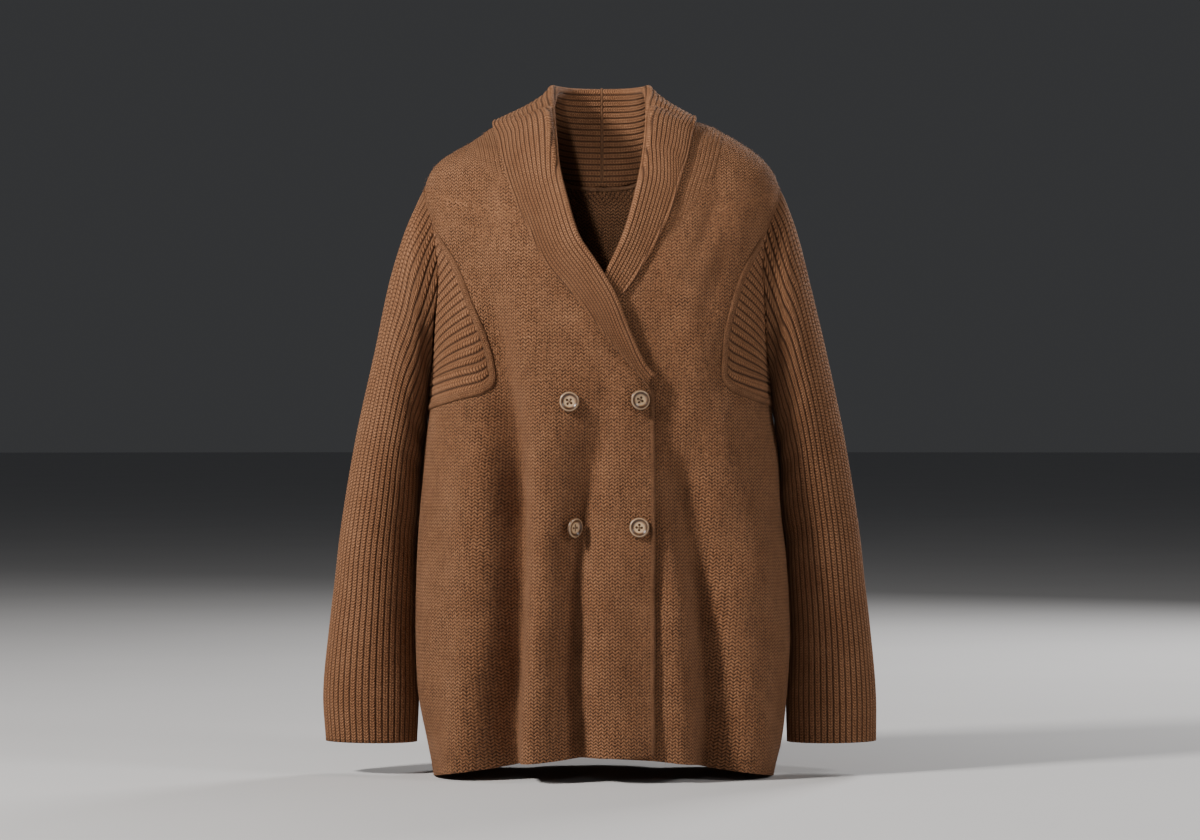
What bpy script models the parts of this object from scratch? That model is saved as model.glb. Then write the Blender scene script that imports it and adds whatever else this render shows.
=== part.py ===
"""A double-breasted knit coat with a ribbed shawl collar, hollow and filled out as when it is worn.

The front faces -Y and up is +Z. The origin lies where the shoulders hold the coat, at the neck end of
the shoulder seams. Left and right are as seen from the front. The body's cloth lies on one skin, which
has level oval sections, and each piece is a stretch of that skin, or a sleeve or a collar that leaves it.
"""
import math

import bmesh
import bpy
import numpy as np
from mathutils import Vector

MM = 0.001
BODY_WALL = 2.6 * MM
RIB_WALL = 2.2 * MM
RIB_HEIGHT = 1.2 * MM
SEAM = 0.3 * MM           # each piece stops this far short of a shared seam line
CLEAR = 0.6 * MM          # between a raised strip and what it lies on
ROUNDNESS = 2.3           # power of the body's oval sections: 2 is an ellipse

# Level sections of the body from hem to neck, in mm.
# height, half width left, half width right, depth to the front, depth to the back
BODY_SECTIONS = (
    (-700, 175, 178, 112, 104),
    (-679, 178, 182, 115, 107),
    (-655, 183, 188, 118, 110),
    (-607, 192, 194, 120, 112),
    (-560, 195.5, 197, 121, 113),
    (-511, 196, 197, 121, 112),
    (-461, 195, 194, 120, 110),
    (-413, 192, 189, 119, 108),
    (-340, 186, 184, 121, 105),
    (-300, 181, 178.5, 122, 105),
    (-254, 181, 176, 121, 106),
    (-199, 182, 176, 117, 106),
    (-154, 183, 177, 110, 104),
    (-114, 184, 181, 102, 100),
    (-70, 187, 187, 90, 92),
    (-41, 172, 172, 80, 83),
    (-14, 128, 134, 68, 73),
    (-2, 110, 110, 62, 67),
    (4, 90, 90, 57, 62),
    (9.5, 72.5, 72.5, 50, 56),
    (16, 50, 50, 38, 44),
)

# Long folds of the body, in mm: where each starts, runs halfway and meets the hem, its spread, and how
# far it stands out (or, below zero, sinks in) halfway and at the hem.
# side, x start, height start, x halfway, height halfway, x hem, spread, out halfway, out at hem
FOLDS = (
    ("front", -132, -150, -99, -360, -108, 14, -14, -19),
    ("front", -60, -330, -70, -480, -71, 15, 4, 6),
    ("front", 2, -300, -27, -405, -33, 13, -9, -14),
    ("front", 76, -340, 104, -498, 118, 14, -11, -16),
    ("front", 66, -380, 76, -520, 80, 11, 4, 5),
    ("back", -62, -250, -72, -450, -78, 17, -9, -13),
    ("back", 60, -230, 66, -430, 74, 16, -10, -14),
    ("back", -2, -300, 4, -480, 2, 20, 4, 7),
)
FOLD_FADE = 60            # mm above its start in which a fold dies out
HEM_SIDE = -687           # height of the hem at the side seams, in mm

# Armhole: an oval seen from the side, in mm.
ARMHOLE_TOP = -69
ARMHOLE_BOTTOM = -275
ARMHOLE_FRONT = 46
ARMHOLE_BACK = 50

# Neck edge of each front, and the seam round each gusset, in mm. height, x
NECK_EDGE_LEFT = ((-284, 52.5), (-275, 47), (-259, 36), (-225, 14), (-187, -9), (-157, -32), (-127, -50),
                  (-95, -64), (-62, -73), (-31, -79), (-8, -77), (3, -73.5), (9.5, -70))
NECK_EDGE_RIGHT = ((-284, -50.5), (-277, -46), (-259, -37), (-225, -17), (-187, 4), (-145, 34), (-114, 46),
                   (-83, 57), (-56, 64), (-31, 71.5), (-8, 74.5), (3, 73), (9.5, 70))
# x, height: from the side seam round the corner to the armhole
GUSSET_CORNER = 4         # row of the corner
GUSSET_SEAM_LEFT = ((-181, -302), (-166.6, -294), (-146.7, -287.7), (-130, -282), (-121.5, -272), (-122.2, -257.8),
                    (-126, -238), (-130.5, -221), (-139.2, -194.3), (-148, -170), (-160, -141), (-176, -108))
GUSSET_SEAM_RIGHT = ((178, -297), (161.7, -290), (148.6, -285.7), (135, -279.5), (127.3, -269), (126.8, -254.7),
                     (127.5, -238), (128.8, -222.6), (134, -200.6), (143, -173), (155, -144), (170, -112))
FRONT_EDGE = 54.5         # the lapping front's edge, and the hidden edge of the front under it
UNDER_EDGE = -50.5
UNDER_INSET = 6 * MM      # the right front lies this much deeper where the left front laps over it
UPPER_COLUMNS = 10        # a front has this many columns over the gusset's corner, and twice as many below
BACK_COLUMNS = 9          # on each half of the back
GIRTH = 150 * MM          # length on the body's skin of one radian, roughly

# The rows of the front panels, in mm. height at the outer seam, height at the inner edge
SIDE_ROWS = ((-687, -660), (-650, -625), (-605, -580), (-555, -532), (-505, -485), (-455, -438), (-405, -392),
             (-362, -352), (-328, -314))
GUSSET_ROW_INNER = (-284, -268, -250, -230, -210, -188, -165, -142)
ARMHOLE_ROWS = ((-99, -125), (-83, -110), (-72.5, -101), (-69, -93))
SHOULDER_ROWS = ((-50, -78), (-30, -60), (-12, -31), (-1, -8), (5, 3), (9.5, 9.5))
# The rows of the back, in mm. height at the outer seam, x and height at the back's middle or its neck edge
BACK_SIDE_ROWS = ((-687, 0, -676), (-650, 0, -640), (-605, 0, -598), (-555, 0, -550), (-505, 0, -500),
                  (-455, 0, -450), (-405, 0, -400), (-355, 0, -350), (-310, 0, -302))
BACK_SHOULDER_ROWS = ((-50, 52, -42), (-30, 56, -31), (-12, 61, -19), (-1, 66, -8), (5, 69, 3), (9.5, 70, 9.5))
# The same with degrees round the armhole in place of the outer height
BACK_ARMHOLE_ROWS = ((180, 0, -268), (165, 0, -246), (150, 0, -224), (135, 0, -202), (120, 0, -180),
                     (105, 0, -158), (90, 0, -136), (75, 0, -115), (60, 0, -95), (45, 0, -77), (30, 0, -62),
                     (15, 22, -61), (0, 42, -54))

# The sleeve's rings below the armhole, in mm.
# height outside, height inside, middle's y, half depth to the front, half depth to the back
SLEEVE_RINGS = (
    (-84, -284, 2, 50, 54),
    (-118, -298, 7, 57, 62),
    (-170, -322, 13, 62, 68),
    (-240, -356, 19, 64, 68),
    (-330, -405, 23, 60, 63),
    (-430, -468, 24, 54, 56),
    (-530, -545, 21, 45, 47),
    (-600, -604, 16, 38, 39),
    (-653, -654, 12, 32, 33),
)
# height, outline of the left sleeve, outline of the right sleeve
SLEEVE_OUTLINE = ((-653, 291, 289), (-620, 294.5, 290), (-571, 291.5, 286), (-522, 287, 282), (-470, 282, 276),
                  (-413, 273.5, 269.5), (-348, 263, 259), (-291, 251, 247), (-209, 232, 229), (-132, 214, 209),
                  (-109, 204.5, 203), (-69, 187, 187))
SLEEVE_CLEAR = 4.8        # mm from the body's cloth to the sleeve's, middle to middle
CUFF_INSIDE = 199         # mm, where the cuff hangs clear of the body
SLEEVE_EDGE = 2.3 * MM    # from the armhole's seam line to the sleeve's edge, inside the armhole
SLEEVE_LAP = 3.4 * MM     # under the arm the sleeve's edge stands this far outside the body's cloth
SLEEVE_RIBS = 36
SLEEVE_PLAIN = 18

# The collar's sections from the centre back to the front end, in mm. The seam and the edge lie on the
# body's cloth, the fold stands up or lies over it.
# x and height of the seam, x, height and y of the fold (None: on the body), x and height of the edge,
# radius of the roll at the fold, extra lift of the fold
COLLAR_SIDE = 7           # the row on the shoulder; the rows before it lie on the back
COLLAR_LEFT = (
    (0, -61, 0, 42, 70, 0, -68, 4.2, 0),
    (-22, -60, -18, 42, 67, -32, -63, 4.2, 0),
    (-42, -53, -34, 42, 57, -64, -46, 4.2, 0),
    (-56, -31, -45, 42, 39, -92, -21, 4.2, 0),
    (-66, -8, -49.5, 41, 18, -104, -9, 4.2, 0),
    (-69, 3, -50.3, 39.5, 11, -108.5, -5, 4.2, 0),
    (-70, 9.5, -50.8, 37.5, 4, -111, -3.5, 4.2, 0),
    (-72.5, 9.5, -51, 33, -4, -112, -3.2, 4, 0),
    (-70, 9.5, -51.3, 26, -13, -111.5, -8, 4, 0),
    (-73.5, 3, -51.6, 17, -22.5, -109, -16, 3.8, 0),
    (-77, -8, -51.2, 5, -34, -106, -27, 3.7, 0),
    (-79, -31, -49, -16, -53, -101, -50, 3.4, 0),
    (-73, -62, -45, -50, -81, -91, -82, 3, 0),
    (-64, -95, -37.5, -82, None, -77.5, -113, 2.75, 0),
    (-50, -127, -26, -122, None, -60, -148, 2.75, 1),
    (-32, -157, -8, -151, None, -36, -177, 2.75, 2.5),
    (-9, -187, 12.5, -186, None, -10, -209, 2.75, 2.5),
    (14, -225, 27, -220, None, 12.5, -239, 2.75, 1),
    (36, -259, 41.5, -252, None, 34, -263, 2.4, 0),
    (44, -271, 53, -267, None, 48, -281, 2, -0.4),
)
COLLAR_RIGHT = (
    (0, -61, 0, 42, 70, 0, -68, 4.2, 0),
    (22, -60, 18, 42, 67, 28, -63, 4.2, 0),
    (42, -53, 33, 42, 57, 58, -47, 4.2, 0),
    (56, -31, 43, 42, 39, 82, -20, 4.2, 0),
    (66, -8, 46.5, 41, 18, 92, -5, 4.2, 0),
    (69, 3, 47.2, 39.5, 11, 96, -0.5, 4.2, 0),
    (70, 9.5, 47.7, 37.5, 4, 98.5, 1.3, 4.2, 0),
    (72.5, 9.5, 48, 33, -4, 99.5, 2, 4, 0),
    (70, 9.5, 48, 26, -13, 97.5, 0, 4, 0),
    (73, 3, 48, 17, -22.5, 95.5, -8, 3.8, 0),
    (74.5, -8, 47.8, 5, -34, 92.5, -20, 3.7, 0),
    (71.5, -31, 46, -16, -53, 88, -42, 3.4, 0),
    (64, -56, 42, -46, -78, 81, -65, 3, 0),
    (57, -83, 35, -80, None, 71, -97, 2.75, 0),
    (46, -114, 24.5, -116, None, 56, -132, 2.5, -0.4),
    (34, -145, 11, -149, None, 37, -164, 2.2, -0.8),
    (4, -187, -2, -172, None, 10, -201, 2, -1.2),
)
COLLAR_CUTS = (0, 1, 2, 2.5, 3, 3.5, 4, 5, 6, 7, 8, 9, 10, 10.5, 11, 11.5, 12, 13, 14, 15, 16, 17, 18, 19)
STAND_STEPS = 16
ROLL_STEPS = 4
FALL_STEPS = 22
COLLAR_PLAIN = 14
STAND_LIFT = 0.8 * MM     # heights of the cloth's middle over the body's: the stand at its seam
FOLD_LIFT = 2 * MM        # the stand at the fold
EDGE_LIFT = 4.2 * MM      # the outer edge
FALL_FOLLOW = 0.5         # share of the fall's width in which it keeps to the stand's slope
FALL_EASE = 0.25          # less by this on the shoulders, where it opens out
STAND_GAP = 1.4 * MM      # from the seam line to the stand, in line with the panel
STAND_GAP_STEEP = 2.2 * MM    # and so much more where the stand rises straight up from it

# Buttons, in mm: x, height
BUTTONS = ((-34, -294), (38, -292), (-33, -423), (38, -423.5))
BUTTON_RADIUS = 10.5 * MM
BUTTON_THICK = 4.2 * MM
BUTTON_HOLE = 1.1 * MM
BUTTON_HOLE_OUT = 2.6 * MM
BUTTON_SEAT = 11.5 * MM   # the cloth this far round a button's middle holds it off
BUTTON_STEPS = 12

CLOTH_COLOUR = (0.235, 0.118, 0.062, 1.0)
RIB_COLOUR = (0.25, 0.125, 0.066, 1.0)
HORN_COLOUR = (0.62, 0.50, 0.36, 1.0)


# ---------------------------------------------------------------- curves and the body's skin

def smooth(stations, values, at):
    """A smooth curve through a table's rows, read at one station. Values may have several columns."""
    stations = np.asarray(stations, float)
    values = np.asarray(values, float)
    slopes = np.gradient(values, stations, axis=0)
    at = min(max(at, stations[0]), stations[-1])
    row = min(int(np.searchsorted(stations, at, side="right")) - 1, len(stations) - 2)
    step = stations[row + 1] - stations[row]
    t = (at - stations[row]) / step
    return ((2 * t ** 3 - 3 * t ** 2 + 1) * values[row] + (t ** 3 - 2 * t ** 2 + t) * step * slopes[row]
            + (3 * t ** 2 - 2 * t ** 3) * values[row + 1] + (t ** 3 - t ** 2) * step * slopes[row + 1])


def ease(start, end, value):
    """0 before start, 1 after end, and a soft step between them."""
    t = min(max((value - start) / (end - start), 0.0), 1.0)
    return t * t * (3 - 2 * t)


BODY_HEIGHTS = np.array(BODY_SECTIONS)[:, 0] * MM
BODY_SIZES = np.array(BODY_SECTIONS)[:, 1:] * MM


def fold_out(side, x, height):
    """How far the folds push the cloth out at a place on one side of the body."""
    total = 0.0
    for row in FOLDS:
        if row[0] != side:
            continue
        x_start, z_start, x_half, z_half, x_hem, spread, out_half, out_hem = row[1:]
        stations = (HEM_SIDE * MM, z_half * MM, z_start * MM, (z_start + FOLD_FADE) * MM)
        middle = smooth(stations, np.array((x_hem, x_half, x_start, x_start)) * MM, height)
        out = smooth(stations, np.array((out_hem, out_half, 0.0, 0.0)) * MM, height)
        total += out * math.exp(-0.5 * ((x - middle) / (spread * MM)) ** 2)
    return total


def under_share(x, height):
    """1 where the right front lies under the left one, and 0 where it has come up to the body's skin."""
    return (1 - ease(62 * MM, 100 * MM, x)) * (1 - ease(-150 * MM, -95 * MM, height))


def skin(angle, height, under=0.0):
    """A point in the middle of the body's cloth: angle 0 at the front, minus to the left, plus to the right."""
    left, right, front, back = smooth(BODY_HEIGHTS, BODY_SIZES, height)
    across = math.sin(angle)
    along = math.cos(angle)
    half = right if across > 0 else left
    depth = front if along > 0 else back
    x = half * math.copysign(abs(across) ** (2 / ROUNDNESS), across)
    y = -depth * math.copysign(abs(along) ** (2 / ROUNDNESS), along)
    out = Vector((across / half, -along / depth, 0.0)).normalized()
    push = fold_out("front" if along > 0 else "back", x, height) * min(1.0, 3 * abs(along))
    push -= under * under_share(x, height)
    return Vector((x, y, height)) + out * push


def skin_normal(angle, height, under=0.0):
    """The outward normal of the body's skin."""
    turn = skin(angle + 0.004, height, under) - skin(angle - 0.004, height, under)
    rise = skin(angle, height + 1.5 * MM, under) - skin(angle, height - 1.5 * MM, under)
    return turn.cross(rise).normalized()


def angle_of_x(x, height, back=False):
    """The angle at which the skin has this x at this height, on the front or on the back."""
    left, right = smooth(BODY_HEIGHTS, BODY_SIZES, height)[:2]
    share = min(abs(x) / (right if x > 0 else left), 1.0)
    angle = math.copysign(math.asin(share ** (ROUNDNESS / 2)), x)
    return math.copysign(math.pi, angle if angle else 1.0) - angle if back else angle


def on_skin(x, height, out=0.0, back=False, under=0.0):
    """The point of the skin at an x and a height, moved out along its normal."""
    angle = angle_of_x(x, height, back)
    return skin(angle, height, under) + skin_normal(angle, height, under) * out


def armhole(turn, side):
    """Angle and height of the armhole's edge: turn 0 at the shoulder, a quarter turn at the front."""
    middle = 0.5 * (ARMHOLE_TOP + ARMHOLE_BOTTOM) * MM
    height = middle + 0.5 * (ARMHOLE_TOP - ARMHOLE_BOTTOM) * MM * math.cos(turn)
    reach = ARMHOLE_FRONT if math.sin(turn) > 0 else ARMHOLE_BACK
    y = reach * MM * abs(math.sin(turn))
    front, back = smooth(BODY_HEIGHTS, BODY_SIZES, height)[2:]
    depth = front if math.sin(turn) > 0 else back
    from_middle = math.acos(min((y / depth), 1.0) ** (ROUNDNESS / 2))
    angle = from_middle if math.sin(turn) > 0 else math.pi - from_middle
    return side * angle, height


def armhole_at(height, side, back=False):
    """Angle of the armhole's edge at a height."""
    middle = 0.5 * (ARMHOLE_TOP + ARMHOLE_BOTTOM)
    share = (height / MM - middle) / (0.5 * (ARMHOLE_TOP - ARMHOLE_BOTTOM))
    turn = math.acos(min(max(share, -1.0), 1.0))
    return armhole(-turn if back else turn, side)[0]


# ---------------------------------------------------------------- meshes

def clear_scene():
    for old in list(bpy.data.objects):
        bpy.data.objects.remove(old)


def material(name, colour, roughness):
    made = bpy.data.materials.new(name)
    made.use_nodes = True
    shader = made.node_tree.nodes["Principled BSDF"]
    shader.inputs["Base Color"].default_value = colour
    shader.inputs["Roughness"].default_value = roughness
    shader.inputs["Metallic"].default_value = 0.0
    return made


def add_object(name, mesh, colour):
    made = bpy.data.objects.new(name, mesh)
    made.data.materials.append(colour)
    COAT.objects.link(made)
    return made


def grid_normals(grid, closed=False):
    """Normals of a grid of points: rows run along the piece, columns across it."""
    along = np.gradient(grid, axis=0)
    if closed:
        across = np.roll(grid, -1, axis=1) - np.roll(grid, 1, axis=1)
    else:
        across = np.gradient(grid, axis=1)
    normal = np.cross(across, along)
    return normal / np.linalg.norm(normal, axis=2, keepdims=True)


def pull_in(grid, borders, distance):
    """Moves the points of some borders inwards, so that pieces stop short of their shared seams."""
    normal = grid_normals(grid)
    along = np.gradient(grid, axis=0)
    across = np.gradient(grid, axis=1)
    moved = grid.copy()
    for border, edge, run, sign in (("first_row", np.s_[0, :], across, 1), ("last_row", np.s_[-1, :], across, -1),
                                    ("first_column", np.s_[:, 0], along, -1),
                                    ("last_column", np.s_[:, -1], along, 1)):
        if border in borders:
            inward = np.cross(normal[edge], run[edge]) * sign
            moved[edge] += distance * inward / np.linalg.norm(inward, axis=1, keepdims=True)
    return moved


def sheet_mesh(name, grids):
    """One open surface of quads from grids of points, joined where they share points."""
    shape = bmesh.new()
    for grid in grids:
        points = [[shape.verts.new(p) for p in row] for row in grid]
        for low, high in zip(points, points[1:]):
            for k in range(len(low) - 1):
                shape.faces.new((low[k], low[k + 1], high[k + 1], high[k]))
    bmesh.ops.remove_doubles(shape, verts=shape.verts, dist=0.05 * MM)
    mesh = bpy.data.meshes.new(name)
    shape.to_mesh(mesh)
    shape.free()
    mesh.shade_smooth()
    return mesh


def add_panel(name, grids, colour):
    """A panel of plain jersey: a surface given the cloth's thickness."""
    made = add_object(name, sheet_mesh(name, grids), colour)
    wall = made.modifiers.new("cloth", "SOLIDIFY")
    wall.thickness = BODY_WALL
    wall.offset = 0.0
    return made


def rib_wall(name, fine, plain, colour, closed=False):
    """A ribbed wall between a fine outer grid and a plain inner one, whose rows match.

    Rows run along the ribs. The fine grid has a whole number of columns for each plain one.
    """
    shape = bmesh.new()
    outer = [[shape.verts.new(p) for p in row] for row in fine]
    inner = [[shape.verts.new(p) for p in row] for row in plain]
    fine_count = len(fine[0]) if closed else len(fine[0]) - 1
    plain_count = len(plain[0]) if closed else len(plain[0]) - 1
    ratio = fine_count // plain_count
    for low, high in zip(outer, outer[1:]):
        for k in range(fine_count):
            m = (k + 1) % len(low)
            shape.faces.new((low[k], low[m], high[m], high[k]))
    for low, high in zip(inner, inner[1:]):
        for k in range(plain_count):
            m = (k + 1) % len(low)
            shape.faces.new((low[m], low[k], high[k], high[m]))
    for row_out, row_in, first in ((outer[0], inner[0], True), (outer[-1], inner[-1], False)):
        for k in range(plain_count):
            m = (k + 1) % len(row_in)
            ring = [row_out[(k * ratio + j) % len(row_out)] for j in range(ratio + 1)]
            ring += [row_in[m], row_in[k]]
            shape.faces.new(ring[::-1] if first else ring)
    if not closed:
        for low, high, low_in, high_in in zip(outer, outer[1:], inner, inner[1:]):
            shape.faces.new((low[0], high[0], high_in[0], low_in[0]))
            shape.faces.new((high[-1], low[-1], low_in[-1], high_in[-1]))
    mesh = bpy.data.meshes.new(name)
    shape.to_mesh(mesh)
    shape.free()
    return add_object(name, mesh, colour)


def resample(points, count, closed=False):
    """Points at even distances along a polyline."""
    points = np.asarray(points, float)
    if closed:
        points = np.vstack((points, points[:1]))
    steps = np.linalg.norm(np.diff(points, axis=0), axis=1)
    reached = np.concatenate(((0.0,), np.cumsum(steps)))
    wanted = np.linspace(0, reached[-1], count + 1)
    if closed:
        wanted = wanted[:-1]
    return np.stack([np.interp(wanted, reached, points[:, k]) for k in range(3)], axis=1)


def add_strip(name, path, normals, half_width, height, colour):
    """A raised half-round strip along a path, whose flat side faces what it lies on."""
    path = np.asarray(path, float)
    normals = np.asarray(normals, float)
    along = np.gradient(path, axis=0)
    along /= np.linalg.norm(along, axis=1, keepdims=True)
    sideways = np.cross(normals, along)
    sideways /= np.linalg.norm(sideways, axis=1, keepdims=True)
    shape = bmesh.new()
    rows = []
    for place, side, up in zip(path, sideways, normals):
        turns = [math.radians(a) for a in (0, 45, 90, 135, 180)]
        rows.append([shape.verts.new(place + side * half_width * math.cos(t) + up * height * math.sin(t))
                     for t in turns])
    for low, high in zip(rows, rows[1:]):
        for k in range(len(low)):
            m = (k + 1) % len(low)
            shape.faces.new((low[m], low[k], high[k], high[m]))
    shape.faces.new(rows[0])
    shape.faces.new(rows[-1][::-1])
    bmesh.ops.recalc_face_normals(shape, faces=shape.faces)
    mesh = bpy.data.meshes.new(name)
    shape.to_mesh(mesh)
    shape.free()
    return add_object(name, mesh, colour)


# ---------------------------------------------------------------- body panels

def neck_edge(table, height):
    rows = np.array(table) * MM
    return float(smooth(rows[:, 0], rows[:, 1], height))


def patch(outer_edge, inner_edge, columns, under=0.0):
    """A grid of skin points between two edges, each a list of (angle, height)."""
    grid = []
    for (angle_out, height_out), (angle_in, height_in) in zip(outer_edge, inner_edge):
        row = []
        for k in range(columns + 1):
            share = k / columns
            angle = angle_out + (angle_in - angle_out) * share
            # a row near the hem keeps close to the seam's height until it nears the middle
            lift = math.sin(0.5 * math.pi * share) ** 2
            row.append(skin(angle, height_out + (height_in - height_out) * lift, under))
        grid.append(row)
    return np.array(grid)


def gusset_seam(side, table):
    """The seam round a gusset as (angle, height): from the side seam round its corner to the armhole."""
    points = [(angle_of_x(x * MM, height * MM), height * MM) for x, height in table]
    points[0] = (side * math.pi / 2, points[0][1])
    points[-1] = (armhole_at(points[-1][1], side), points[-1][1])
    return points


def spaced(points, count):
    """Points at even distances along a line on the skin, given and returned as (angle, height)."""
    places = np.array([(angle * GIRTH, 0.0, height) for angle, height in points])
    return [(row[0] / GIRTH, row[2]) for row in resample(places, count)]


def front_grids(side, neck_table, gusset_table, edge_x, under):
    """A front's cloth below the gusset's corner and above it, in rows from the outer seam to the inner edge."""
    seam = gusset_seam(side, gusset_table)
    outer = [(side * math.pi / 2, row[0] * MM) for row in SIDE_ROWS]
    inner = [(angle_of_x(edge_x * MM, row[1] * MM), row[1] * MM) for row in SIDE_ROWS]
    lower = patch(outer, inner, 2 * UPPER_COLUMNS, under)
    outer = seam[GUSSET_CORNER:]
    outer += [(armhole_at(row[0] * MM, side), row[0] * MM) for row in ARMHOLE_ROWS]
    outer += [(side * math.pi / 2, row[0] * MM) for row in SHOULDER_ROWS]
    heights = [h * MM for h in GUSSET_ROW_INNER + tuple(row[1] for row in ARMHOLE_ROWS + SHOULDER_ROWS)]
    inner = [(angle_of_x(neck_edge(neck_table, h), h), h) for h in heights]
    upper = pull_in(patch(outer, inner, UPPER_COLUMNS, under), ("first_column",), SEAM)
    bottom = [skin(angle, height, under) for angle, height in spaced(seam[:GUSSET_CORNER + 1], UPPER_COLUMNS)]
    lower = np.concatenate((lower, [np.concatenate((bottom[:-1], upper[0]))]))
    lower = pull_in(lower, ("first_column",), SEAM)
    lower[-1, :UPPER_COLUMNS] = pull_in(lower, ("last_row",), SEAM)[-1, :UPPER_COLUMNS]
    return lower, upper


def add_fronts():
    add_panel("front_left", front_grids(-1, NECK_EDGE_LEFT, GUSSET_SEAM_LEFT, FRONT_EDGE, 0.0), CLOTH)
    grids = front_grids(1, NECK_EDGE_RIGHT, GUSSET_SEAM_RIGHT, UNDER_EDGE, UNDER_INSET)
    add_panel("front_right", [grid[:, ::-1] for grid in grids], CLOTH)


def add_back():
    halves = []
    for side in (-1, 1):
        outer = [(side * math.pi / 2, row[0] * MM) for row in BACK_SIDE_ROWS]
        outer += [armhole(-math.radians(row[0]), side) for row in BACK_ARMHOLE_ROWS]
        outer += [(side * math.pi / 2, row[0] * MM) for row in BACK_SHOULDER_ROWS]
        inner = []
        for _, x_in, height_in in BACK_SIDE_ROWS + BACK_ARMHOLE_ROWS + BACK_SHOULDER_ROWS:
            angle = side * abs(angle_of_x(side * x_in * MM, height_in * MM, back=True))
            inner.append((angle if x_in else side * math.pi, height_in * MM))
        grid = pull_in(patch(outer, inner, BACK_COLUMNS), ("first_column",), SEAM)
        halves.append(grid[:, ::-1] if side < 0 else grid)
    add_panel("back", halves, CLOTH)


# ---------------------------------------------------------------- gussets and their welts

GUSSET_COLUMNS = 4
GUSSET_RIBS = 16
GUSSET_BEND = 2.1         # the ribs start level and steepen towards the front seam
GUSSET_TOP = 0.85         # the panel stops this far up the seam's last stretch
GUSSET_TOP_TURN = 0.06    # and this much short of the seam's end round the armhole
GUSSET_SINK = 0.4 * MM
WELT_HALF_WIDTH = 4 * MM
WELT_HEIGHT = 2.2 * MM
WELT_LIFT = 2.4 * MM
WELT_STEPS = 24


def add_gusset(name, side, table):
    """Ribs rise aslant from the lower seam, the side seam and the armhole to the front seam."""
    steps = 2 * GUSSET_RIBS
    seam = gusset_seam(side, table)
    before, last = seam[-2:]
    top = tuple(a + (b - a) * GUSSET_TOP for a, b in zip(before, last))
    ends = spaced(seam[GUSSET_CORNER:-1] + [top], steps)
    share = (seam[-1][1] / MM - 0.5 * (ARMHOLE_TOP + ARMHOLE_BOTTOM)) / (0.5 * (ARMHOLE_TOP - ARMHOLE_BOTTOM))
    hole = [armhole(turn, side) for turn in np.linspace(math.pi, math.acos(share) + GUSSET_TOP_TURN, 25)]
    starts = spaced(seam[:GUSSET_CORNER + 1], UPPER_COLUMNS)[::-1]
    starts += spaced([seam[0]] + hole, steps - UPPER_COLUMNS)[1:]
    fine = np.zeros((GUSSET_COLUMNS + 1, steps + 1, 3))
    normals = np.zeros_like(fine)
    for k, (start, end) in enumerate(zip(starts, ends)):
        bend = 1 + (GUSSET_BEND - 1) * ease(UPPER_COLUMNS - 4, UPPER_COLUMNS + 4, k)
        for j in range(GUSSET_COLUMNS + 1):
            t = j / GUSSET_COLUMNS
            angle = start[0] + (end[0] - start[0]) * t
            level = start[1] + (end[1] - start[1]) * t ** bend
            normals[j, k] = skin_normal(angle, level)
            fine[j, k] = skin(angle, level) - Vector(normals[j, k]) * GUSSET_SINK
    # the ribs shrink to nothing at the lower corner, so their first row is drawn in a little
    fine[:, 0] = 0.35 * fine[:, 0] + 0.65 * fine[:, 1]
    grid = pull_in(fine, ("first_row", "last_row", "first_column", "last_column"), 1.6 * SEAM)
    fade_row = 0
    if np.dot(grid_normals(grid)[2, steps // 2], normals[2, steps // 2]) < 0:
        grid = grid[::-1]
        normals = normals[::-1]
        fade_row = GUSSET_COLUMNS
    inside = grid - normals * 0.5 * RIB_WALL
    outside = grid + normals * 0.5 * RIB_WALL
    for j in range(GUSSET_COLUMNS + 1):
        height = RIB_HEIGHT if j != fade_row else 0.0
        outside[j, 1:-1:2] += normals[j, 1:-1:2] * height
    rib_wall(name, outside, inside[:, ::2], RIB)


def add_welt(name, side, table):
    """The smooth band that covers the seam between a gusset and its front."""
    places = []
    normals = []
    path = spaced(gusset_seam(side, table), WELT_STEPS)[1:]
    path[-1] = tuple(0.65 * a + 0.35 * b for a, b in zip(path[-2], path[-1]))
    for angle, height in path:
        normal = skin_normal(angle, height)
        places.append(skin(angle, height) + normal * WELT_LIFT)
        normals.append(normal)
    add_strip(name, places, normals, WELT_HALF_WIDTH, WELT_HEIGHT, RIB)


# ---------------------------------------------------------------- sleeves

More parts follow.
